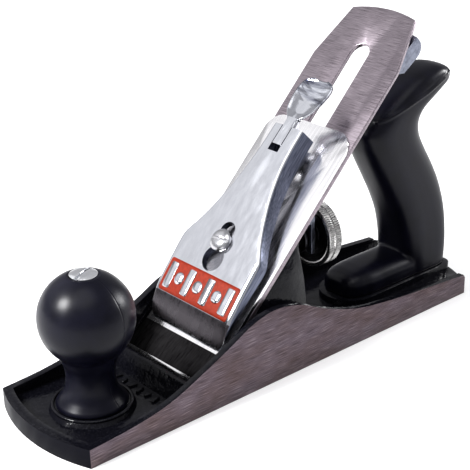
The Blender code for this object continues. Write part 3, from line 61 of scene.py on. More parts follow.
# %% Bed and body helpers
SOLE_LOW, SOLE_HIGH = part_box("sole_body")
HALF_WIDTH = SOLE_HIGH[1]
MOUTH_X = SOLE_HIGH[0] - 68 * MM
KNOB_X = SOLE_HIGH[0] - 30.4 * MM
TOTE_X = SOLE_LOW[0] + 1.6 * MM
BED = Matrix.Translation((MOUTH_X, 0, 0)) @ Matrix.Rotation(math.radians(45), 4, "Y")
CAP_FACE = 4.6 * MM


def on_bed(s, t, y=0.0):
    return BED @ Vector((-s, y, t))


bodies = frame["record"]["behaviour"]["bodies"]
home = {node: body for body, nodes in bodies.items() for node in nodes}

# %% [markdown]
# ## Materials
# Each finish starts from one Principled shader. A pattern space turns and stretches the object's own coordinates,
# so a stretched noise gives grinding streaks along a casting or brushing across a blade. Noise then drives colour,
# roughness and a very small bump, because real metal varies in all three.

# %% Material helpers
BED_TURN = (0, math.radians(45), 0)


def base_material(name, colour, roughness, metallic=0.0, **extra):
    made = bpy.data.materials.new(name)
    made.use_nodes = True
    shader = made.node_tree.nodes["Principled BSDF"]
    shader.inputs["Base Color"].default_value = (*colour, 1)
    shader.inputs["Roughness"].default_value = roughness
    shader.inputs["Metallic"].default_value = metallic
    for socket, value in extra.items():
        shader.inputs[socket.replace("_", " ")].default_value = value
    return made


def add_node(mat, kind, **values):
    made = mat.node_tree.nodes.new(kind)
    for key, value in values.items():
        if key in made.inputs:
            made.inputs[key].default_value = value
        else:
            setattr(made, key, value)
    return made


def link(mat, out, into):
    mat.node_tree.links.new(out, into)


def space(mat, size, turn=(0, 0, 0)):
    """Object coordinates counted in steps of the given size, in metres, along axes turned by the given angles."""
    coords = add_node(mat, "ShaderNodeTexCoord")
    mapping = add_node(mat, "ShaderNodeMapping", vector_type="TEXTURE", Rotation=turn, Scale=size)
    link(mat, coords.outputs["Object"], mapping.inputs["Vector"])
    return mapping.outputs["Vector"]


def grain(mat, size, turn=(0, 0, 0), detail=3.0, rough=0.6):
    """A noise whose grains have the given size."""
    made = add_node(mat, "ShaderNodeTexNoise", Scale=1.0, Detail=detail, Roughness=rough)
    link(mat, space(mat, size, turn), made.inputs["Vector"])
    return made.outputs["Fac"]


def ramp(mat, value, stops):
    """Turns a value into colours. A stop is a place from 0 to 1 and a colour or grey."""
    made = add_node(mat, "ShaderNodeValToRGB")
    points = made.color_ramp.elements
    while len(points) < len(stops):
        points.new(0.5)
    for point, (place, colour) in zip(points, stops):
        point.position = place
        point.color = (*colour, 1) if isinstance(colour, tuple) else (colour, colour, colour, 1)
    link(mat, value, made.inputs["Fac"])
    return made.outputs["Color"]


MIX_SHARE, MIX_FIRST, MIX_SECOND, MIX_RESULT = 0, 6, 7, 2  # colour sockets of a Mix node, by number


def multiply(mat, first, second):
    """One colour darkened by another."""
    made = add_node(mat, "ShaderNodeMix", data_type="RGBA", blend_type="MULTIPLY")
    made.inputs[MIX_SHARE].default_value = 1.0
    link(mat, first, made.inputs[MIX_FIRST])
    link(mat, second, made.inputs[MIX_SECOND])
    return made.outputs[MIX_RESULT]


def feed(mat, out, socket):
    link(mat, out, mat.node_tree.nodes["Principled BSDF"].inputs[socket])


def bump(mat, *layers):
    """Stacks height layers. A layer is a value, a depth in metres and a strength."""
    before = None
    for value, depth, strength in layers:
        made = add_node(mat, "ShaderNodeBump", Strength=strength, Distance=depth)
        link(mat, value, made.inputs["Height"])
        if before:
            link(mat, before, made.inputs["Normal"])
        before = made.outputs["Normal"]
    feed(mat, before, "Normal")


# %% Ground cast iron
def make_ground_iron():
    """Surface grinding leaves lengthwise scratches over a warm grey casting with faint stains."""
    mat = base_material("ground_iron", (0.22, 0.19, 0.20), 0.42, 1.0)
    streak = grain(mat, (0.009, 0.0005, 0.00022), detail=4)
    cloud = grain(mat, (0.030, 0.014, 0.010), detail=3)
    tone = ramp(mat, streak, [(0.34, (0.060, 0.048, 0.055)), (0.52, (0.130, 0.108, 0.120)),
                              (0.68, (0.26, 0.225, 0.245))])
    stain = ramp(mat, cloud, [(0.35, (0.80, 0.72, 0.68)), (0.65, (1.0, 0.98, 1.02))])
    feed(mat, multiply(mat, tone, stain), "Base Color")
    feed(mat, ramp(mat, streak, [(0.3, 0.36), (0.7, 0.52)]), "Roughness")
    bump(mat, (streak, 0.00008, 0.5))
    return mat


# %% Black enamel
def make_enamel():
    """Thick glossy paint over a sand casting: lumpy at two sizes, with a few specks of dust."""
    mat = base_material("black_enamel", (0.004, 0.004, 0.006), 0.16, 0.0, Specular_IOR_Level=0.22)
    lumps = grain(mat, (0.0035, 0.0035, 0.0035), detail=2)
    pits = grain(mat, (0.0008, 0.0008, 0.0008), detail=3)
    tone = ramp(mat, pits, [(0.35, (0.003, 0.003, 0.005)), (0.62, (0.007, 0.007, 0.010)),
                            (0.80, (0.030, 0.030, 0.036))])
    feed(mat, tone, "Base Color")
    feed(mat, ramp(mat, lumps, [(0.3, 0.10), (0.7, 0.22)]), "Roughness")
    bump(mat, (lumps, 0.0005, 0.45), (pits, 0.00008, 0.2))
    return mat


# %% Moulded plastic
def make_plastic():
    """Satin black plastic has a fine moulded texture and shows handling as soft cloudy gloss."""
    mat = base_material("black_plastic", (0.004, 0.004, 0.008), 0.33, 0.0, Specular_IOR_Level=0.24)
    cloud = grain(mat, (0.012, 0.012, 0.012), detail=4)
    skin_noise = grain(mat, (0.0005, 0.0005, 0.0005), detail=2)
    feed(mat, ramp(mat, cloud, [(0.3, (0.0016, 0.0016, 0.0050)), (0.7, (0.0040, 0.0040, 0.0110))]), "Base Color")
    feed(mat, ramp(mat, cloud, [(0.25, 0.27), (0.75, 0.38)]), "Roughness")
    bump(mat, (skin_noise, 0.00004, 0.35))
    return mat


# %% Chrome and bright plating
def make_chrome(name, tint, low, high, wave=0.00012):
    """Plating follows the polished casting under it, so wide waves and tiny pits bend its reflections."""
    mat = base_material(name, tint, low, 1.0)
    waves = grain(mat, (0.016, 0.016, 0.016), detail=1)
    pits = grain(mat, (0.0007, 0.0007, 0.0007), detail=3)
    smear = grain(mat, (0.009, 0.003, 0.009), BED_TURN, detail=3)
    feed(mat, ramp(mat, smear, [(0.3, tuple(0.90 * c for c in tint)), (0.7, tint)]), "Base Color")
    feed(mat, ramp(mat, smear, [(0.3, low), (0.75, high)]), "Roughness")
    bump(mat, (waves, wave * 10, 0.10), (pits, 0.00003, 0.16))
    return mat


# %% Brushed steels
def make_brushed(name, dark, light, size, turn, rough, depth=0.00005, cloud_size=(0.02, 0.02, 0.02), dull=0.82):
    """A long thin noise is the abrasive's track; a wide one makes the sheet a little uneven."""
    mat = base_material(name, light, rough[0], 1.0)
    tracks = grain(mat, size, turn, detail=4)
    cloud = grain(mat, cloud_size, turn, detail=2)
    tone = ramp(mat, tracks, [(0.28, dark), (0.72, light)])
    patch = ramp(mat, cloud, [(0.3, (dull, dull, dull)), (0.7, (1.0, 1.0, 1.0))])
    feed(mat, multiply(mat, tone, patch), "Base Color")
    feed(mat, ramp(mat, tracks, [(0.3, rough[0]), (0.7, rough[1])]), "Roughness")
    bump(mat, (tracks, depth, 0.4))
    return mat


# %% Panel paint
def make_paint(name, colour, rough):
    """Thin paint pools unevenly, so its colour is mottled and its surface slightly rough."""
    mat = base_material(name, colour, rough, 0.0, Specular_IOR_Level=0.2)
    mottle = grain(mat, (0.0012, 0.0012, 0.0012), detail=3)
    feed(mat, ramp(mat, mottle, [(0.3, tuple(0.62 * c for c in colour)), (0.7, colour)]), "Base Color")
    bump(mat, (mottle, 0.00015, 0.5))
    return mat


IRON = make_ground_iron()
ENAMEL = make_enamel()
PLASTIC = make_plastic()
CHROME = make_chrome("chrome_cap", (0.60, 0.61, 0.65), 0.09, 0.20)
BRIGHT = make_chrome("bright_plate", (0.80, 0.81, 0.83), 0.16, 0.28, 0.00004)
# Cap walls: brushed tracks over a dark bluish colour, which is a painted reflection of darker surroundings.
WALL_PAINTED_REFLECTION = make_brushed("cap_wall_painted_reflection", (0.050, 0.055, 0.080), (0.24, 0.26, 0.34), (0.012, 0.0006, 0.0004), BED_TURN,
                    (0.28, 0.42))
BLADE = make_brushed("blade_steel", (0.18, 0.155, 0.175), (0.46, 0.405, 0.445), (0.00030, 0.009, 0.001), BED_TURN,
                     (0.26, 0.38))
CAP_STEEL = make_brushed("cap_iron_steel", (0.72, 0.71, 0.73), (1.0, 0.99, 1.0), (0.024, 0.00045, 0.001), BED_TURN,
                         (0.14, 0.24), dull=0.93)
# Cap iron hump: near-black steel, a painted dark reflection of the throat beneath it.
HUMP_PAINTED_REFLECTION = make_brushed("cap_iron_hump_painted_reflection", (0.012, 0.011, 0.012), (0.042, 0.040, 0.042), (0.020, 0.0010, 0.001), BED_TURN,
                    (0.25, 0.36))
PLAIN = make_brushed("plain_steel", (0.30, 0.30, 0.31), (0.55, 0.55, 0.57), (0.0006, 0.0006, 0.004), (0, 0, 0),
                     (0.25, 0.4))
DARK = make_brushed("pressed_steel", (0.14, 0.15, 0.19), (0.33, 0.35, 0.42), (0.010, 0.0005, 0.002), BED_TURN,
                    (0.28, 0.42))
WHEEL_FACE = make_brushed("wheel_face", (0.030, 0.030, 0.034), (0.10, 0.10, 0.11), (0.004, 0.0008, 0.0008), (0, 0, 0),
                          (0.30, 0.45))
NICKEL = make_brushed("knurled_nickel", (0.26, 0.26, 0.26), (0.66, 0.65, 0.64), (0.004, 0.0006, 0.0006), (0, 0, 0),
                      (0.22, 0.36))
# Thumb-piece grip: chrome whose dark bluish streaks across it are painted reflections of its low ridges.
RIDGED_PAINTED_REFLECTION = make_brushed("ridged_chrome_painted_reflection", (0.07, 0.075, 0.12), (0.86, 0.88, 0.94), (0.0026, 0.016, 0.004), BED_TURN,
                      (0.10, 0.2))
# Lip plating: a dark speckled chrome, a painted dark reflection on the band below the panel.
LIP_PAINTED_REFLECTION = make_chrome("cap_lip_painted_reflection", (0.085, 0.078, 0.086), 0.22, 0.36)
SCREW = make_chrome("screw_steel", (0.50, 0.50, 0.52), 0.20, 0.32, 0.00004)
# Nose enamel: a duller, less reflective copy of the black enamel, painting shade on the nose where the floor would be
# reflected.
NOSE_PAINTED_SHADE = base_material("nose_enamel_painted_shade", (0.006, 0.006, 0.009), 0.35, 0.0, Specular_IOR_Level=0.05)
RED = make_paint("red_paint", (0.25, 0.024, 0.008), 0.5)
print("materials", len(bpy.data.materials))

# %% [markdown]
# ## Turning CAD solids into castings and pressings
# A machined CAD edge has no width, and a real edge always catches light. A copy of each solid has its loose
# triangles welded, its flat areas joined again and its edges rounded by a Bevel modifier with even normals.

# %% Piece helpers
def place_piece(name, bm, body, mats, replaces=()):
    mesh = bpy.data.meshes.new(name)
    bm.to_mesh(mesh)
    bm.free()
    for mat in mats:
        mesh.materials.append(mat)
    for face in mesh.polygons:
        face.use_smooth = True
    piece = bpy.data.objects.new(name, mesh)
    bpy.context.scene.collection.objects.link(piece)
    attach(piece, body)
    if replaces:
        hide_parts(*replaces)
    return piece


def round_edges(piece, width, angle=32, segments=2):
    made = piece.modifiers.new("rounded edges", "BEVEL")
    made.width = width
    made.segments = segments
    made.limit_method = "ANGLE"
    made.angle_limit = math.radians(angle)
    made.harden_normals = True
    made.use_clamp_overlap = True
    return made


def welded(node):
    """A copy of a CAD node as one joined mesh with whole flat faces."""
    bm = bmesh.new()
    bm.from_mesh(frame["nodes"][node].data)
    for face in bm.faces:
        face.material_index = 0
    bmesh.ops.remove_doubles(bm, verts=bm.verts, dist=2e-6)
    bmesh.ops.dissolve_limit(bm, angle_limit=math.radians(0.6), verts=bm.verts, edges=bm.edges)
    return bm


def softened(node, mats, width, angle=32, paint=None, matrix=None, segments=2):
    bm = welded(node)
    if matrix:
        bmesh.ops.transform(bm, matrix=matrix, verts=bm.verts)
    if paint:
        for face in bm.faces:
            face.material_index = paint(face.calc_center_median(), face.normal)
    piece = place_piece(node + "_dressed", bm, home[node], mats, (node,))
    round_edges(piece, width, angle, segments)
    return piece


# %% [markdown]
# ## The sole
# The casting is enamelled inside and ground bare on its cheeks and bottom. Its nose takes a duller, less reflective
# copy of the enamel, painted shade in place of the floor's reflection. A face's place and direction say which finish
# it takes.

# %% Sole
# The third index marks the nose faces that take the painted shade.
GLOSSY, BARE, NOSE_SHADE = 0, 1, 2
NOSE_DEPTH = 14 * MM


def sole_paint(centre, normal):
    on_cheek = abs(normal.y) > 0.98 and abs(centre.y) > HALF_WIDTH - 0.2 * MM
    on_bottom = normal.z < -0.9 and centre.z < 0.1 * MM
    if on_cheek or on_bottom:
        return BARE
    return NOSE_SHADE if normal.x > 0.5 and centre.x > SOLE_HIGH[0] - NOSE_DEPTH else GLOSSY


sole = softened("sole_body", [ENAMEL, IRON, NOSE_PAINTED_SHADE], 0.45 * MM, 30, sole_paint)
print("sole faces", len(sole.data.polygons))

# %% [markdown]
# ## Raised details of the casting
# A casting carries small raised marks, here a row of plain leaning bars, each a cube scaled, turned and bevelled.
# The knob's seat has a raised lip, a circle spun round the knob's axis.

# %% Raised casting marks
MARKS, MARK_STEP, MARK_LEAN = 8, 5.4 * MM, 14
MARK_START = (70.4 * MM, -23 * MM, 4.75 * MM)


def make_casting_marks():
    bm = bmesh.new()
    for i in range(MARKS):
        made = bmesh.ops.create_cube(bm, size=1.0)["verts"]
        long = (4.6 if i % 3 else 3.4) * MM
        lean = MARK_LEAN if i % 2 else -MARK_LEAN
        x, y, z = MARK_START
        bmesh.ops.scale(bm, vec=(long, 1.5 * MM, 1.6 * MM), verts=made)
        bmesh.ops.rotate(bm, matrix=Matrix.Rotation(math.radians(lean), 3, "Z"), verts=made)
        bmesh.ops.translate(bm, vec=(x, y + MARK_STEP * i, z), verts=made)
    bmesh.ops.bevel(bm, geom=bm.edges[:], offset=0.55 * MM, segments=3, affect="EDGES", profile=0.5, material=-1)
    return place_piece("casting_marks", bm, "sole", [ENAMEL])


marks = make_casting_marks()
print("casting marks", MARKS, "faces", len(marks.data.polygons))

# %% Raised lip of the knob's seat
LIP_RADIUS, LIP_THICK, LIP_Z = 16.7 * MM, 0.85 * MM, 6.75 * MM
ROUND_STEPS = 96


def make_seat_lip():
    bm = bmesh.new()
    profile = bmesh.ops.create_circle(bm, segments=12, radius=LIP_THICK)["verts"]
    bmesh.ops.rotate(bm, matrix=Matrix.Rotation(math.radians(90), 3, "X"), verts=profile)
    bmesh.ops.translate(bm, vec=(LIP_RADIUS, 0, LIP_Z), verts=profile)
    bmesh.ops.spin(bm, geom=profile + bm.edges[:], cent=(0, 0, 0), axis=(0, 0, 1), angle=math.tau,
                   steps=ROUND_STEPS, use_merge=True)
    bmesh.ops.remove_doubles(bm, verts=bm.verts, dist=1e-6)
    bmesh.ops.translate(bm, vec=(KNOB_X, 0, 0), verts=bm.verts)
    bmesh.ops.recalc_face_normals(bm, faces=bm.faces)
    return place_piece("knob_seat_lip", bm, "sole", [ENAMEL])


seat_lip = make_seat_lip()
print("seat lip faces", len(seat_lip.data.polygons))

# %% [markdown]
# ## Skins
# A skin starts as one ring. Extruding its edges makes the next ring, and each new point keeps the number of the
# point it grew from, so it can be sent to its own place. The ends are filled at the last.

# %% Ring helpers
def skin(rings):
    bm = bmesh.new()
    number = bm.verts.layers.int.new("number")
    start = bmesh.ops.create_circle(bm, segments=len(rings[0]), radius=1.0)["verts"]
    for i, v in enumerate(start):
        v[number] = i
        v.co = rings[0][i]
    edges = bm.edges[:]
    first = list(edges)
    for ring in rings[1:]:
        grown = bmesh.ops.extrude_edge_only(bm, edges=edges)["geom"]
        fresh = {g for g in grown if isinstance(g, bmesh.types.BMVert)}
        for v in fresh:
            v.co = ring[v[number]]
        edges = list({e for v in fresh for e in v.link_edges if e.other_vert(v) in fresh})
    for end in (first, edges):
        bmesh.ops.contextual_create(bm, geom=end)
    bmesh.ops.recalc_face_normals(bm, faces=bm.faces)
    return bm


def between(table, where):
    """A smooth curve through a table of places and values."""
    if where <= table[0][0]:
        return table[0][1]
    for i in range(len(table) - 1):
        (x0, y0), (x1, y1) = table[i], table[i + 1]
        if where <= x1:
            before = table[i - 1] if i else (2 * x0 - x1, 2 * y0 - y1)
            after = table[i + 2] if i + 2 < len(table) else (2 * x1 - x0, 2 * y1 - y0)
            m0 = (y1 - before[1]) / (x1 - before[0]) * (x1 - x0)
            m1 = (after[1] - y0) / (after[0] - x0) * (x1 - x0)
            u = (where - x0) / (x1 - x0)
            return ((2 * u ** 3 - 3 * u ** 2 + 1) * y0 + (u ** 3 - 2 * u ** 2 + u) * m0
                    + (3 * u ** 2 - 2 * u ** 3) * y1 + (u ** 3 - u ** 2) * m1)
    return table[-1][1]


def apply_all(piece):
    """Replaces a piece's mesh by the one its modifiers make."""
    graph = bpy.context.evaluated_depsgraph_get()
    made = bpy.data.meshes.new_from_object(piece.evaluated_get(graph))
    piece.modifiers.clear()
    old, piece.data = piece.data, made
    bpy.data.meshes.remove(old)


def carve(piece, bm):
    """Cuts a closed shape out of a piece."""
    mesh = bpy.data.meshes.new("cutter")
    bm.to_mesh(mesh)
    bm.free()
    tool = bpy.data.objects.new("cutter", mesh)
    bpy.context.scene.collection.objects.link(tool)
    made = piece.modifiers.new("cut", "BOOLEAN")
    made.operation = "DIFFERENCE"
    made.solver = "EXACT"
    made.object = tool
    apply_all(piece)
    bpy.data.objects.remove(tool)


# %% [markdown]
# ## The knob
# A turned ball on a waisted neck, moulded in two halves. Its profile is spun round the screw's axis, and the
# parting line is a narrow groove: the mesh is bisected either side of a plane, and the middle loop pressed in.

# %% Knob
KNOB_LOW, KNOB_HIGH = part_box("knob")
BALL = (KNOB_HIGH[1] - KNOB_LOW[1]) / 2
BALL_Z = 46.2 * MM
SEAM_TURN = math.radians(14)
SEAM_HALF, SEAM_DEPTH = 0.30, 0.22 * MM
BALL_FROM, BALL_TO, BALL_STEPS = -52, 72.2, 40


def knob_outline():
    foot = KNOB_LOW[2]
    neck = [(15.2, 0), (15.3, 0.6), (14.4, 1.9), (12.6, 3.9), (11.3, 6.4), (10.6, 9.4), (10.3, 12.6), (10.5, 15.6),
            (11.1, 18.6), (12.2, 21.4)]
    points = [(0, foot)] + [(r * MM, foot + z * MM) for r, z in neck]
    for i in range(BALL_STEPS + 1):
        a = math.radians(BALL_FROM + i * (BALL_TO - BALL_FROM) / BALL_STEPS)
        points.append((BALL * math.cos(a), BALL_Z + BALL * math.sin(a)))
    well, floor_z = 6.2 * MM, KNOB_HIGH[2] - 2.2 * MM
    points += [(well, KNOB_HIGH[2] - 0.5 * MM), (well, floor_z), (0, floor_z)]
    return points


def make_knob():
    bm = bmesh.new()
    points = [bm.verts.new((r, 0, z)) for r, z in knob_outline()]
    edges = [bm.edges.new(pair) for pair in zip(points, points[1:])]
    bmesh.ops.spin(bm, geom=points + edges, cent=(0, 0, 0), axis=(0, 0, 1), angle=math.tau,
                   steps=ROUND_STEPS, use_merge=True)
    bmesh.ops.remove_doubles(bm, verts=bm.verts, dist=1e-6)
    across = Vector((math.cos(SEAM_TURN), math.sin(SEAM_TURN), 0))
    for step in (-SEAM_HALF, 0, SEAM_HALF):
        bmesh.ops.bisect_plane(bm, geom=bm.verts[:] + bm.edges[:] + bm.faces[:], plane_co=across * step * MM,
                               plane_no=across)
    for v in bm.verts:
        if abs(v.co.dot(across)) < 0.05 * MM and v.co.xy.length > 7 * MM:
            v.co -= Vector((v.co.x, v.co.y, 0)).normalized() * SEAM_DEPTH
    bmesh.ops.translate(bm, vec=(KNOB_X, 0, 0), verts=bm.verts)
    bmesh.ops.recalc_face_normals(bm, faces=bm.faces)
    return place_piece("knob_moulded", bm, "sole", [PLASTIC], ("knob",))


knob = make_knob()
print("knob faces", len(knob.data.polygons))

# %% [markdown]
# ## The handle
# Grip and foot are two skins, joined by a voxel remesh and smoothed, which leaves the soft fillet of a moulding.

# %% Handle
def oval(front, back, half, power, count=48):
    centre, reach = (front + back) / 2, (front - back) / 2
    ring = []
    for i in range(count):
        a = math.tau * i / count
        c, s = math.cos(a), math.sin(a)
        u = math.copysign(abs(c) ** (2 / power), c)
        v = math.copysign(abs(s) ** (2 / power), s)
        ring.append(centre + reach * u + Vector((0, half * v, 0)))
    return ring


TOTE_LOW, TOTE_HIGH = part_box("tote")
GRIP = [  # front x, z; back x, z; half thickness; squareness, in millimetres from the handle's back
    (30.0, 8.3, 0.6, 8.3, 13.3, 4.2), (29.4, 18, 0.1, 18, 13.4, 4.2), (31.0, 29, 0.4, 29, 13.4, 4.0),
    (34.6, 40, 1.7, 41, 13.1, 3.6), (40.2, 51, 5.3, 53, 12.9, 3.3), (46.6, 62, 10.5, 63.5, 12.8, 3.1),
    (52.4, 72, 16.3, 73, 12.7, 3.0), (56.2, 80, 20.7, 81.5, 12.6, 3.0), (57.0, 87, 20.9, 88.5, 12.5, 3.0),
    (50.0, 95.4, 17.6, 93.4, 12.4, 3.0), (36.0, 103.3, 12.0, 96.8, 12.2, 3.0), (22.0, 109.7, 6.5, 99.6, 11.7, 2.9),
    (11.0, 112.2, 1.8, 102.2, 10.6, 2.8), (3.3, 111.0, -0.9, 105.4, 8.2, 2.4)]


def grip_rings():
    rings = []
    for i in range(4 * (len(GRIP) - 1) + 1):
        k = i / 4
        columns = [[(j, row[n]) for j, row in enumerate(GRIP)] for n in range(6)]
        fx, fz, bx, bz, half, power = [between(column, k) for column in columns]
        front = Vector((TOTE_X + fx * MM, 0, fz * MM))
        back = Vector((TOTE_X + bx * MM, 0, bz * MM))
        rings.append(oval(front, back, half * MM, power))
    return rings


PAD_Z = 8.3 * MM
FOOT_TIP, FOOT_HALF, FOOT_HIGH = 70, 12.8 * MM, 11.2 * MM
FOOT = [(60, 1, 1), (40, 1, 1), (24, 1, 1), (14, 0.99, 0.99), (8, 0.95, 0.93), (4, 0.87, 0.82),
        (1.6, 0.74, 0.66), (0.3, 0.55, 0.46)]  # millimetres back from the tip, share of height, share of width


def foot_rings():
    rings = []
    for back, rise, share in FOOT:
        x, half, height = TOTE_X + (FOOT_TIP - back) * MM, FOOT_HALF * share, FOOT_HIGH * rise
        ring = []
        for i in range(32):
            a = math.pi * i / 31
            side = math.copysign(abs(math.cos(a)) ** 0.7, math.cos(a))
            ring.append(Vector((x, half * side, PAD_Z + height * (0.25 + 0.75 * math.sin(a) ** 0.8))))
        ring += [Vector((x, half * (-1 + i / 3.5), PAD_Z)) for i in range(8)]
        rings.append(ring)
    return rings


CREASE_PLACES = [(3.5, 108.0), (5.9, 107.1), (13.0, 104.6), (21.4, 101.6), (30.5, 99.1), (40.7, 96.1),
                 (51.1, 92.7)]
CREASE = [(TOTE_X + x * MM, z * MM) for x, z in CREASE_PLACES]
CREASE_HIGH, CREASE_WIDE = 0.8 * MM, 0.6 * MM
VOXEL, SMOOTHINGS = 0.62 * MM, 7


def away(point, a, b):
    """How far a point is from the line between two others."""
    p, q, r = Vector(point), Vector(a), Vector(b)
    along = max(0.0, min(1.0, (p - q).dot(r - q) / (r - q).length_squared))
    return (p - q - (r - q) * along).length


def make_tote():
    bm = skin(grip_rings())
    foot = skin(foot_rings())
    holder = bpy.data.meshes.new("foot")
    foot.to_mesh(holder)
    foot.free()
    bm.from_mesh(holder)
    bpy.data.meshes.remove(holder)
    piece = place_piece("tote_moulded", bm, "sole", [PLASTIC], ("tote",))
    remesh = piece.modifiers.new("one skin", "REMESH")
    remesh.mode = "VOXEL"
    remesh.voxel_size = VOXEL
    remesh.use_smooth_shade = True
    apply_all(piece)
    bm = bmesh.new()
    bm.from_mesh(piece.data)
    bmesh.ops.recalc_face_normals(bm, faces=bm.faces)
    for _ in range(SMOOTHINGS):
        free = [v for v in bm.verts if v.co.z > 9.5 * MM]
        bmesh.ops.smooth_vert(bm, verts=free, factor=0.5, use_axis_x=True, use_axis_y=True, use_axis_z=True)
    bm.normal_update()
    for v in bm.verts:
        if abs(v.co.y) > 3 * MM and v.co.z > 60 * MM:
            off = min(away((v.co.x, v.co.z), a, b) for a, b in zip(CREASE, CREASE[1:]))
            v.co += v.normal * CREASE_HIGH * math.exp(-(off / CREASE_WIDE) ** 2)
    for v in bm.verts:
        v.co = Vector(min(max(c, lo), hi) for c, lo, hi in zip(v.co, TOTE_LOW, TOTE_HIGH))
    bm.to_mesh(piece.data)
    bm.free()
    for face in piece.data.polygons:
        face.use_smooth = True
    return piece


tote = make_tote()
print("tote faces", len(tote.data.polygons))

# %% [markdown]
# ## The lever cap
# A chromed casting: a crowned plate with side walls, hollow beneath, tapering to the cam end. The skin runs
# along the bed, its section a closed loop of outer and inner wall, and the keyhole and cam slot are cut last.

# %% Lever cap skin
CREST = [(23.4, 1.7), (25.5, 3.1), (28, 4.6), (31, 6.2), (34, 7.5), (38, 8.45), (42, 9.0), (50, 9.9), (58, 10.6),
         (66, 11.3), (75, 12.2), (91, 13.6), (105, 14.4), (124, 14.6)]
SIDE = [(23.4, 21.9), (26, 24.2), (30, 25.1), (36, 25.45), (48, 25.5), (60, 25.5), (63, 25.1), (66, 23.6), (69, 21.75),
        (74, 19.2), (80, 16.7), (91, 13.0), (103, 10.4), (113, 9.4), (124, 9.1)]
SKIRT = CAP_FACE + 4.4 * MM


def crown(s, y):
    """The height of the cap's top surface over the bed."""
    reach = between(SIDE, s / MM) * MM - 2.0 * MM
    return CAP_FACE + between(CREST, s / MM) * MM - 0.6 * MM * min(1.0, abs(y) / reach) ** 2


def cap_ring(s):
    half = between(SIDE, s / MM) * MM
    crest = CAP_FACE + between(CREST, s / MM) * MM
    foot = min(SKIRT, crest - 0.9 * MM)
    shoulder = min(2.0 * MM, (crest - foot) * 0.7)
    outer = [(-half, foot), (-half, (foot + crest - 0.6 * MM - shoulder) / 2)]
    for i in range(7):
        a = math.radians(15 * i)
        outer.append((-half + shoulder * (1 - math.cos(a)), crest - 0.6 * MM - shoulder * (1 - math.sin(a))))
    flat = half - shoulder
    outer += [(flat * (-1 + i / 12), crest - 0.6 * MM * (-1 + i / 12) ** 2) for i in range(1, 13)]
    outer += [(-y, t) for y, t in reversed(outer[:-1])]
    roof = max(foot, crest - 3.4 * MM) if s > 41 * MM else foot
    inner = [((half - 2.6 * MM) * (1 - i / 10), roof) for i in range(21)]
    inner = [((half - 2.6 * MM), foot)] + inner + [(-(half - 2.6 * MM), foot)]
    return [on_bed(s, t, y) for y, t in outer + inner]


def disc(s, radius, low, high):
    """A round cutter standing on the bed."""
    bm = bmesh.new()
    bmesh.ops.create_cone(bm, cap_ends=True, segments=64, radius1=radius, radius2=radius, depth=high - low)
    bmesh.ops.translate(bm, vec=(-s, 0, (low + high) / 2), verts=bm.verts)
    bmesh.ops.transform(bm, matrix=BED, verts=bm.verts)
    return bm


def block(s_low, s_high, half, low, high, round_end=0.0):
    """A slot cutter on the bed, its lower end square and its upper end rounded when asked."""
    bm = bmesh.new()
    bmesh.ops.create_cube(bm, size=1.0)
    bmesh.ops.scale(bm, vec=(s_high - s_low, 2 * half, high - low), verts=bm.verts)
    bmesh.ops.translate(bm, vec=(-(s_low + s_high) / 2, 0, (low + high) / 2), verts=bm.verts)
    if round_end:
        edges = [e for e in bm.edges if all(v.co.x < -s_high + 1e-6 for v in e.verts)
                 and abs(e.verts[0].co.y - e.verts[1].co.y) < 1e-6]
        bmesh.ops.bevel(bm, geom=edges, offset=round_end, segments=16, affect="EDGES", profile=0.5, material=-1)
    bmesh.ops.transform(bm, matrix=BED, verts=bm.verts)
    return bm


# Face indices: plated faces, walls with a painted dark bluish reflection, and the lip with a painted dark reflection.
PLATED, WALL_PAINTED_DARK, LIP_DARK_REFLECTION = 0, 1, 2
LIP_FROM, LIP_TO = 24.2 * MM, 34.6 * MM
KEYHOLE_S, KEYHOLE_TOP, CAM_SLOT_S = 57 * MM, 74.7 * MM, 111 * MM
THROUGH = (-MM, 30 * MM)


def cap_paint(piece):
    """The walls take a dark bluish brushed colour, a painted reflection of darker surroundings, and the lip below the
    panel takes a dark plating, a painted dark reflection.
    """
    turn = BED.to_3x3().inverted()
    for face in piece.data.polygons:
        normal = turn @ face.normal
        s = -(BED.inverted() @ face.center).x
        face.material_index = WALL_PAINTED_DARK if abs(normal.z) < 0.42 and -0.9 < normal.x < 0.75 else PLATED
        # The lip's dark plating is a painted dark reflection.
        if LIP_FROM < s < LIP_TO and normal.z > 0.5:
            face.material_index = LIP_DARK_REFLECTION


def make_lever_cap():
    stations = [23.4 + 0.45 * i for i in range(16)] + [30.6 + 1.0 * i for i in range(93)] + [123.6, 124.0]
    bm = skin([cap_ring(s * MM) for s in stations])
    piece = place_piece("lever_cap_chromed", bm, "lever_cap", [CHROME, WALL_PAINTED_REFLECTION, LIP_PAINTED_REFLECTION], ("lever_cap",))
    carve(piece, disc(KEYHOLE_S, 5.9 * MM, *THROUGH))
    carve(piece, block(KEYHOLE_S, KEYHOLE_TOP, 4.2 * MM, *THROUGH, round_end=4.15 * MM))
    carve(piece, block(CAM_SLOT_S, 126 * MM, 3.1 * MM, *THROUGH))
    cap_paint(piece)
    for face in piece.data.polygons:
        face.use_smooth = True
    round_edges(piece, 0.45 * MM, 38)
    return piece


lever_cap = make_lever_cap()
print("lever cap faces", len(lever_cap.data.polygons))

# %% [markdown]
# ## The painted panel
# A red panel with plain raised chrome figures sits across the cap. Flat shapes are drawn in s and y, split into
# small faces and then laid on the crowned surface.

# %% Panel
def lay_on_cap(bm, lift):
    for v in bm.verts:
        s, y, h = v.co
        v.co = on_bed(s, crown(s, y) + h + lift, y)
    bmesh.ops.recalc_face_normals(bm, faces=bm.faces)
    return bm


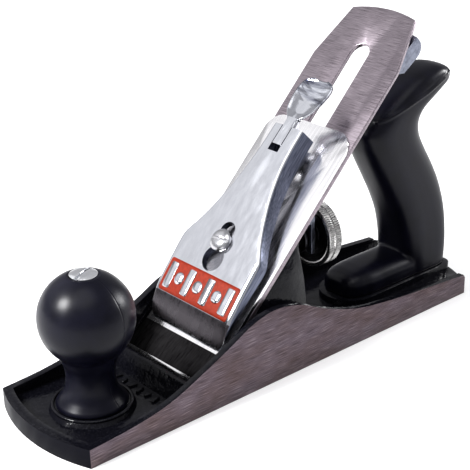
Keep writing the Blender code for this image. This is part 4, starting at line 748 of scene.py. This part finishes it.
def rounded_slab(bm, s, y, long, wide, thick, corner):
    """Adds a flat slab with rounded corners, its middle at the given place."""
    slab = bmesh.new()
    bmesh.ops.create_cube(slab, size=1.0)
    bmesh.ops.scale(slab, vec=(long, wide, thick), verts=slab.verts)
    upright = [e for e in slab.edges if abs(e.verts[0].co.z - e.verts[1].co.z) > thick * 0.9]
    bmesh.ops.bevel(slab, geom=upright, offset=corner, segments=4, affect="EDGES", profile=0.5, material=-1)
    bmesh.ops.translate(slab, vec=(s, y, 0), verts=slab.verts)
    holder = bpy.data.meshes.new("slab")
    slab.to_mesh(holder)
    slab.free()
    bm.from_mesh(holder)
    bpy.data.meshes.remove(holder)


def split_across(bm, step):
    """Adds cuts along y and s so that a flat shape can bend."""
    for axis, low, high in ((1, -26 * MM, 26 * MM), (0, 30 * MM, 56 * MM)):
        place = low
        while place < high:
            co, no = [0, 0, 0], [0, 0, 0]
            co[axis], no[axis] = place, 1
            bmesh.ops.bisect_plane(bm, geom=bm.verts[:] + bm.edges[:] + bm.faces[:], plane_co=co, plane_no=no)
            place += step
    return bm


PANEL_S, PANEL_LONG, PANEL_WIDE = 42.6 * MM, 15.4 * MM, 46.0 * MM
FIGURES, FIGURE_STEP = 7, 6.3
BAR, DOT = (12.2 * MM, 4.4 * MM, 0.6 * MM, 0.9 * MM), (5.6 * MM, 5.4 * MM, 0.6 * MM, 2.5 * MM)


def make_panel():
    bm = bmesh.new()
    rounded_slab(bm, PANEL_S, 0, PANEL_LONG, PANEL_WIDE, 0.5 * MM, 1.2 * MM)
    laid = lay_on_cap(split_across(bm, 2.1 * MM), -0.16 * MM)
    return place_piece("panel_red", laid, "lever_cap", [RED])


def make_panel_figures():
    """Bars and dots by turns."""
    bm = bmesh.new()
    for i in range(FIGURES):
        y = FIGURE_STEP * (i - FIGURES // 2) * MM
        rounded_slab(bm, PANEL_S, y, *(DOT if i % 2 else BAR))
    laid = lay_on_cap(split_across(bm, 2.3 * MM), 0.10 * MM)
    return place_piece("panel_figures", laid, "lever_cap", [CHROME])


panel, figures = make_panel(), make_panel_figures()
print("panel faces", len(panel.data.polygons), len(figures.data.polygons))

# %% [markdown]
# ## The cam lever
# Its narrow stem comes from the solid; the thumb piece is a dished oval with low ridges across for grip.

# %% Cam lever
SPOON_HALF = [(126.5, 2.7), (128, 3.2), (130, 5.2), (133, 7.2), (137, 8.5), (141, 9.3), (145, 9.5), (148, 8.6),
              (149.8, 6.6), (150.5, 4.2)]
SPOON_DROP = [(126.5, 0.15), (130, 0.3), (134, 0.8), (139, 1.5), (144, 2.2), (148, 2.7), (150.5, 3.0)]


STEM_END, GRIP_FROM = 128.6 * MM, 139 * MM


def spoon_ring(s):
    half, drop = between(SPOON_HALF, s), between(SPOON_DROP, s)
    top = CAP_FACE / MM + 14.55 - drop
    upper, lower = [], []
    for i in range(33):
        share = -1 + i / 16
        phase = s - 2.2 * share ** 2 + 1.4 * share
        fade = min(1.0, max(0.0, (phase - 136) / 2)) * min(1.0, max(0.0, (149.0 - s) / 2)) * (1 - share ** 4)
        ridge = 0.09 * math.sin(math.tau * phase / 3.4) * fade
        dish = 1.6 * (1 - share ** 2) * min(1.0, (s - 126) / 6)
        upper.append((share, top - dish + ridge))
        lower.append((share * 0.97, top - dish - 1.35))
    loop = upper + lower[::-1]
    return [on_bed(s * MM, t * MM, y * half * MM) for y, t in loop]


def make_cam_lever():
    stem = welded("cam_lever")
    cut = stem.verts[:] + stem.edges[:] + stem.faces[:]
    up_bed = BED.to_3x3() @ Vector((-1, 0, 0))
    bmesh.ops.bisect_plane(stem, geom=cut, plane_co=on_bed(STEM_END, 0), plane_no=up_bed, clear_outer=True)
    rim = [e for e in stem.edges if e.is_boundary]
    bmesh.ops.contextual_create(stem, geom=rim)
    piece = place_piece("cam_stem", stem, "cam_lever", [CHROME], ("cam_lever",))
    round_edges(piece, 0.3 * MM)
    spoon = skin([spoon_ring(126.5 + 0.5 * i) for i in range(49)])
    for face in spoon.faces:
        # Faces past GRIP_FROM take the chrome with painted dark reflections of the ridges.
        place = BED.inverted() @ face.calc_center_median()
        face.material_index = 1 if -place.x + 0.25 * place.y > GRIP_FROM else 0
    thumb = place_piece("cam_thumb_piece", spoon, "cam_lever", [CHROME, RIDGED_PAINTED_REFLECTION])
    return piece, thumb


cam_stem, cam_thumb = make_cam_lever()
print("cam lever faces", len(cam_stem.data.polygons), len(cam_thumb.data.polygons))

# %% [markdown]
# ## The depth wheel
# A knurled rim is a spun profile with every second row of points pulled in, in two bands beside a groove.

# %% Depth wheel
WHEEL_LOW, WHEEL_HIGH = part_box("depth_wheel")
WHEEL_Z = (WHEEL_LOW[2] + WHEEL_HIGH[2]) / 2
WHEEL_R = (WHEEL_HIGH[1] - WHEEL_LOW[1]) / 2
KNURL_STEPS, KNURL_DEPTH = 180, 0.42 * MM


def make_wheel():
    front, back = WHEEL_HIGH[0], WHEEL_LOW[0]
    r = WHEEL_R / MM
    wide = (front - back) / MM
    profile = [(4.4, 1.8), (6.0, 1.8), (6.2, 2.3), (8.4, 2.3), (8.6, 1.8), (11.0, 1.8), (11.2, 2.3), (r - 2.9, 2.3),
               (r - 2.5, 0.3), (r - 1.9, 0.0), (r - 0.5, 0.0), (r - 0.1, 0.4), (r, 0.8), (r, 3.0), (r - 0.5, 3.3),
               (r - 0.5, wide - 3.6), (r, wide - 3.3), (r, wide - 0.8), (r - 0.1, wide - 0.4), (r - 0.5, wide),
               (r - 2.2, wide), (r - 2.8, wide - 0.5), (r - 3.0, wide - 1.9), (4.4, wide - 1.9)]
    bm = bmesh.new()
    points = [bm.verts.new((front - x * MM, radius * MM, 0)) for radius, x in profile]
    edges = [bm.edges.new(pair) for pair in zip(points, points[1:] + points[:1])]
    bmesh.ops.spin(bm, geom=points + edges, cent=(0, 0, 0), axis=(1, 0, 0), angle=math.tau,
                   steps=KNURL_STEPS, use_merge=True)
    bmesh.ops.remove_doubles(bm, verts=bm.verts, dist=1e-6)
    for v in bm.verts:
        radius = math.hypot(v.co.y, v.co.z)
        turn = round(math.atan2(v.co.z, v.co.y) / math.tau * KNURL_STEPS)
        if radius > WHEEL_R - 0.05 * MM and turn % 2:
            v.co.y *= 1 - KNURL_DEPTH / radius
            v.co.z *= 1 - KNURL_DEPTH / radius
    bmesh.ops.translate(bm, vec=(0, 0, WHEEL_Z), verts=bm.verts)
    bmesh.ops.recalc_face_normals(bm, faces=bm.faces)
    for face in bm.faces:
        c = face.calc_center_median()
        face.material_index = 1 if math.hypot(c.y, c.z - WHEEL_Z) < WHEEL_R - 2.4 * MM else 0
    piece = place_piece("depth_wheel_knurled", bm, "depth_wheel", [NICKEL, WHEEL_FACE],
                        ("depth_wheel",))
    piece.data.polygons.foreach_set("use_smooth", [False] * len(piece.data.polygons))
    return piece


wheel = make_wheel()
print("wheel faces", len(wheel.data.polygons))

# %% [markdown]
# ## Smaller parts
# The rest keep their solids' shapes with softened edges. Two slotted screws are turned to where they were left.

# %% Softened parts
def about(point, direction, degrees):
    turn = Matrix.Rotation(math.radians(degrees), 4, direction)
    return Matrix.Translation(point) @ turn @ Matrix.Translation(-point)


HUMP_FROM, HUMP_TO = 7.5 * MM, 22 * MM
CAP_SCREW_S, CAP_SCREW_TURN, KNOB_SCREW_TURN = 65.5 * MM, 61, -4


def paint_hump_reflection(centre, normal):
    """The cap iron's hump takes a near-black steel colour, a painted dark reflection of the throat below it."""
    place = BED.inverted() @ centre
    return 1 if HUMP_FROM < -place.x < HUMP_TO else 0


bed_up = BED.to_3x3() @ Vector((0, 0, 1))
softened("plane_iron", [BLADE], 0.25 * MM)
softened("cap_iron", [CAP_STEEL, HUMP_PAINTED_REFLECTION], 0.3 * MM, paint=paint_hump_reflection)
softened("frog", [ENAMEL], 0.5 * MM, 40)
softened("lateral_lever", [DARK], 0.3 * MM, 40)
softened("lever_cap_screw", [SCREW], 0.25 * MM, 34,
         matrix=about(on_bed(CAP_SCREW_S, 0), bed_up, CAP_SCREW_TURN))
softened("knob_screw", [BRIGHT], 0.2 * MM, 34,
         matrix=about(Vector((KNOB_X, 0, 0)), Vector((0, 0, 1)), KNOB_SCREW_TURN))

# %% Screws, pins and washers
SMALL_PARTS = [  # node, slot, finish, width of its rounded edges in millimetres
    ("tote_nut", "bright_screws", BRIGHT, 0.3),
    ("tote_rod", "plain_steel", PLAIN, 0.2),
    ("frog_screw_left", "plain_steel", PLAIN, 0.3),
    ("frog_screw_right", "plain_steel", PLAIN, 0.3),
    ("frog_washer_left", "plain_steel", PLAIN, 0.2),
    ("frog_washer_right", "plain_steel", PLAIN, 0.2),
    ("frog_clip", "dark_steel", DARK, 0.2),
    ("frog_clip_screw", "plain_steel", PLAIN, 0.2),
    ("frog_adjusting_screw", "plain_steel", PLAIN, 0.3),
    ("depth_stud", "plain_steel", PLAIN, 0.2),
    ("depth_bush", "brass", WHEEL_FACE, 0.25),
    ("depth_yoke", "dark_steel", DARK, 0.35),
    ("yoke_pin", "plain_steel", PLAIN, 0.15),
    ("lateral_rivet", "plain_steel", PLAIN, 0.15),
    ("lateral_roller", "plain_steel", PLAIN, 0.2),
    ("cap_iron_screw", "plain_steel", PLAIN, 0.25),
    ("cam_pin", "plain_steel", PLAIN, 0.15),
    ("lever_cap_spring", "dark_steel", DARK, 0.12),
    ("spring_rivet", "plain_steel", PLAIN, 0.15)]
for name, slot, mat, width in SMALL_PARTS:
    softened(name, [mat], width * MM, 34)

# %% [markdown]
# ## Floor, light and camera
# A pale floor under a nearly even studio sky. One broad soft light is mirrored in the plated cap, with a small
# core in its middle. A strong one ahead puts the highlight on the knob, a rim light stands behind, and a wide sun
# fills the shadows.

# %% Floor
floor_bm = bmesh.new()
bmesh.ops.create_grid(floor_bm, x_segments=1, y_segments=1, size=20)
bmesh.ops.translate(floor_bm, vec=(0, 0, -0.2 * MM), verts=floor_bm.verts)
floor_mesh = bpy.data.meshes.new("floor")
floor_bm.to_mesh(floor_mesh)
floor_bm.free()
floor = bpy.data.objects.new("floor", floor_mesh)
bpy.context.scene.collection.objects.link(floor)
floor_mat = base_material("pale_floor", (0.70, 0.70, 0.70), 0.9, 0.0, Emission_Strength=0.20)
floor_mat.node_tree.nodes["Principled BSDF"].inputs["Emission Color"].default_value = (1, 1, 1, 1)
floor_mesh.materials.append(floor_mat)

# %% World
world = bpy.data.worlds.new("studio")
bpy.context.scene.world = world
world.use_nodes = True
nodes, links = world.node_tree.nodes, world.node_tree.links
coords = nodes.new("ShaderNodeTexCoord")
parts = nodes.new("ShaderNodeSeparateXYZ")
shade = nodes.new("ShaderNodeValToRGB")
SKY = [(0.0, 0.45), (0.999, 0.5), (1.0, 1.0)]  # height and brightness: nearly even, brightest straight overhead
points = shade.color_ramp.elements
points.new(SKY[1][0])
for point, (place, value) in zip(points, SKY):
    point.position = place
    point.color = (value, value, min(1.0, value * 1.03), 1)
links.new(coords.outputs["Generated"], parts.inputs[0])
links.new(parts.outputs["Z"], shade.inputs["Fac"])
links.new(shade.outputs["Color"], nodes["Background"].inputs["Color"])
nodes["Background"].inputs["Strength"].default_value = 1.0


# %% Lights
def softbox(name, direction, distance, wide, tall, brightness):
    """An area light whose face has the given brightness, pointed at the plane."""
    light = bpy.data.lights.new(name, "AREA")
    light.shape = "RECTANGLE"
    light.size, light.size_y, light.energy = wide, tall, brightness * math.pi * wide * tall
    lamp = bpy.data.objects.new(name, light)
    bpy.context.scene.collection.objects.link(lamp)
    way = Vector(direction).normalized()
    lamp.location = Vector((0, 0, 0.06)) + way * distance
    lamp.visible_camera = False
    lamp.rotation_euler = way.to_track_quat("Z", "Y").to_euler()


LIGHTS = [  # name, direction, distance, width, height, brightness
    ("over_toe", (0.42, -0.69, 0.66), 1.8, 2.1, 1.6, 0.46),
    ("over_toe_core", (0.40, -0.67, 0.60), 1.25, 0.13, 0.12, 0.6),
    ("knob_light", (0.76, -0.22, 0.61), 1.2, 0.36, 0.36, 52.0),
    ("rim", (-0.93, 0.30, 0.30), 1.3, 0.30, 0.30, 34.0)]
for row in LIGHTS:
    softbox(*row)
sun = bpy.data.objects.new("sun", bpy.data.lights.new("sun", "SUN"))
bpy.context.scene.collection.objects.link(sun)
sun.data.energy = 0.9
sun.data.angle = math.radians(50)
sun.rotation_euler = Vector((0.25, 0.25, 1.0)).to_track_quat("Z", "Y").to_euler()
print("lights", len(bpy.data.lights))

# %% Camera
TARGET = Vector((-113.8, -146.14, -26.90)) * MM
DISTANCE, AZIMUTH, ELEVATION, ROLL = 758.72 * MM, math.radians(49.29), math.radians(23.81), -0.01833
SENSOR_WIDTH = 36
LENS = SENSOR_WIDTH * 1247.5 / 470
level = math.cos(ELEVATION)
back = Vector((level * math.cos(AZIMUTH), level * math.sin(AZIMUTH), math.sin(ELEVATION)))
right = Vector((0, 0, 1)).cross(back).normalized()
up = back.cross(right)
across = math.cos(ROLL) * right + math.sin(ROLL) * up
upward = -math.sin(ROLL) * right + math.cos(ROLL) * up
camera = bpy.data.objects.new("camera", bpy.data.cameras.new("camera"))
bpy.context.scene.collection.objects.link(camera)
facing = Matrix((across, upward, back)).transposed().to_4x4()
camera.matrix_world = Matrix.Translation(TARGET + DISTANCE * back) @ facing
camera.data.sensor_width = SENSOR_WIDTH
camera.data.lens = LENS
camera.data.clip_start = 0.01
camera.data.clip_end = 100
bpy.context.scene.camera = camera
bpy.context.scene.view_settings.view_transform = "Standard"
bpy.context.scene.view_settings.look = "Medium High Contrast"
print("camera at", [round(c, 3) for c in camera.matrix_world.translation])
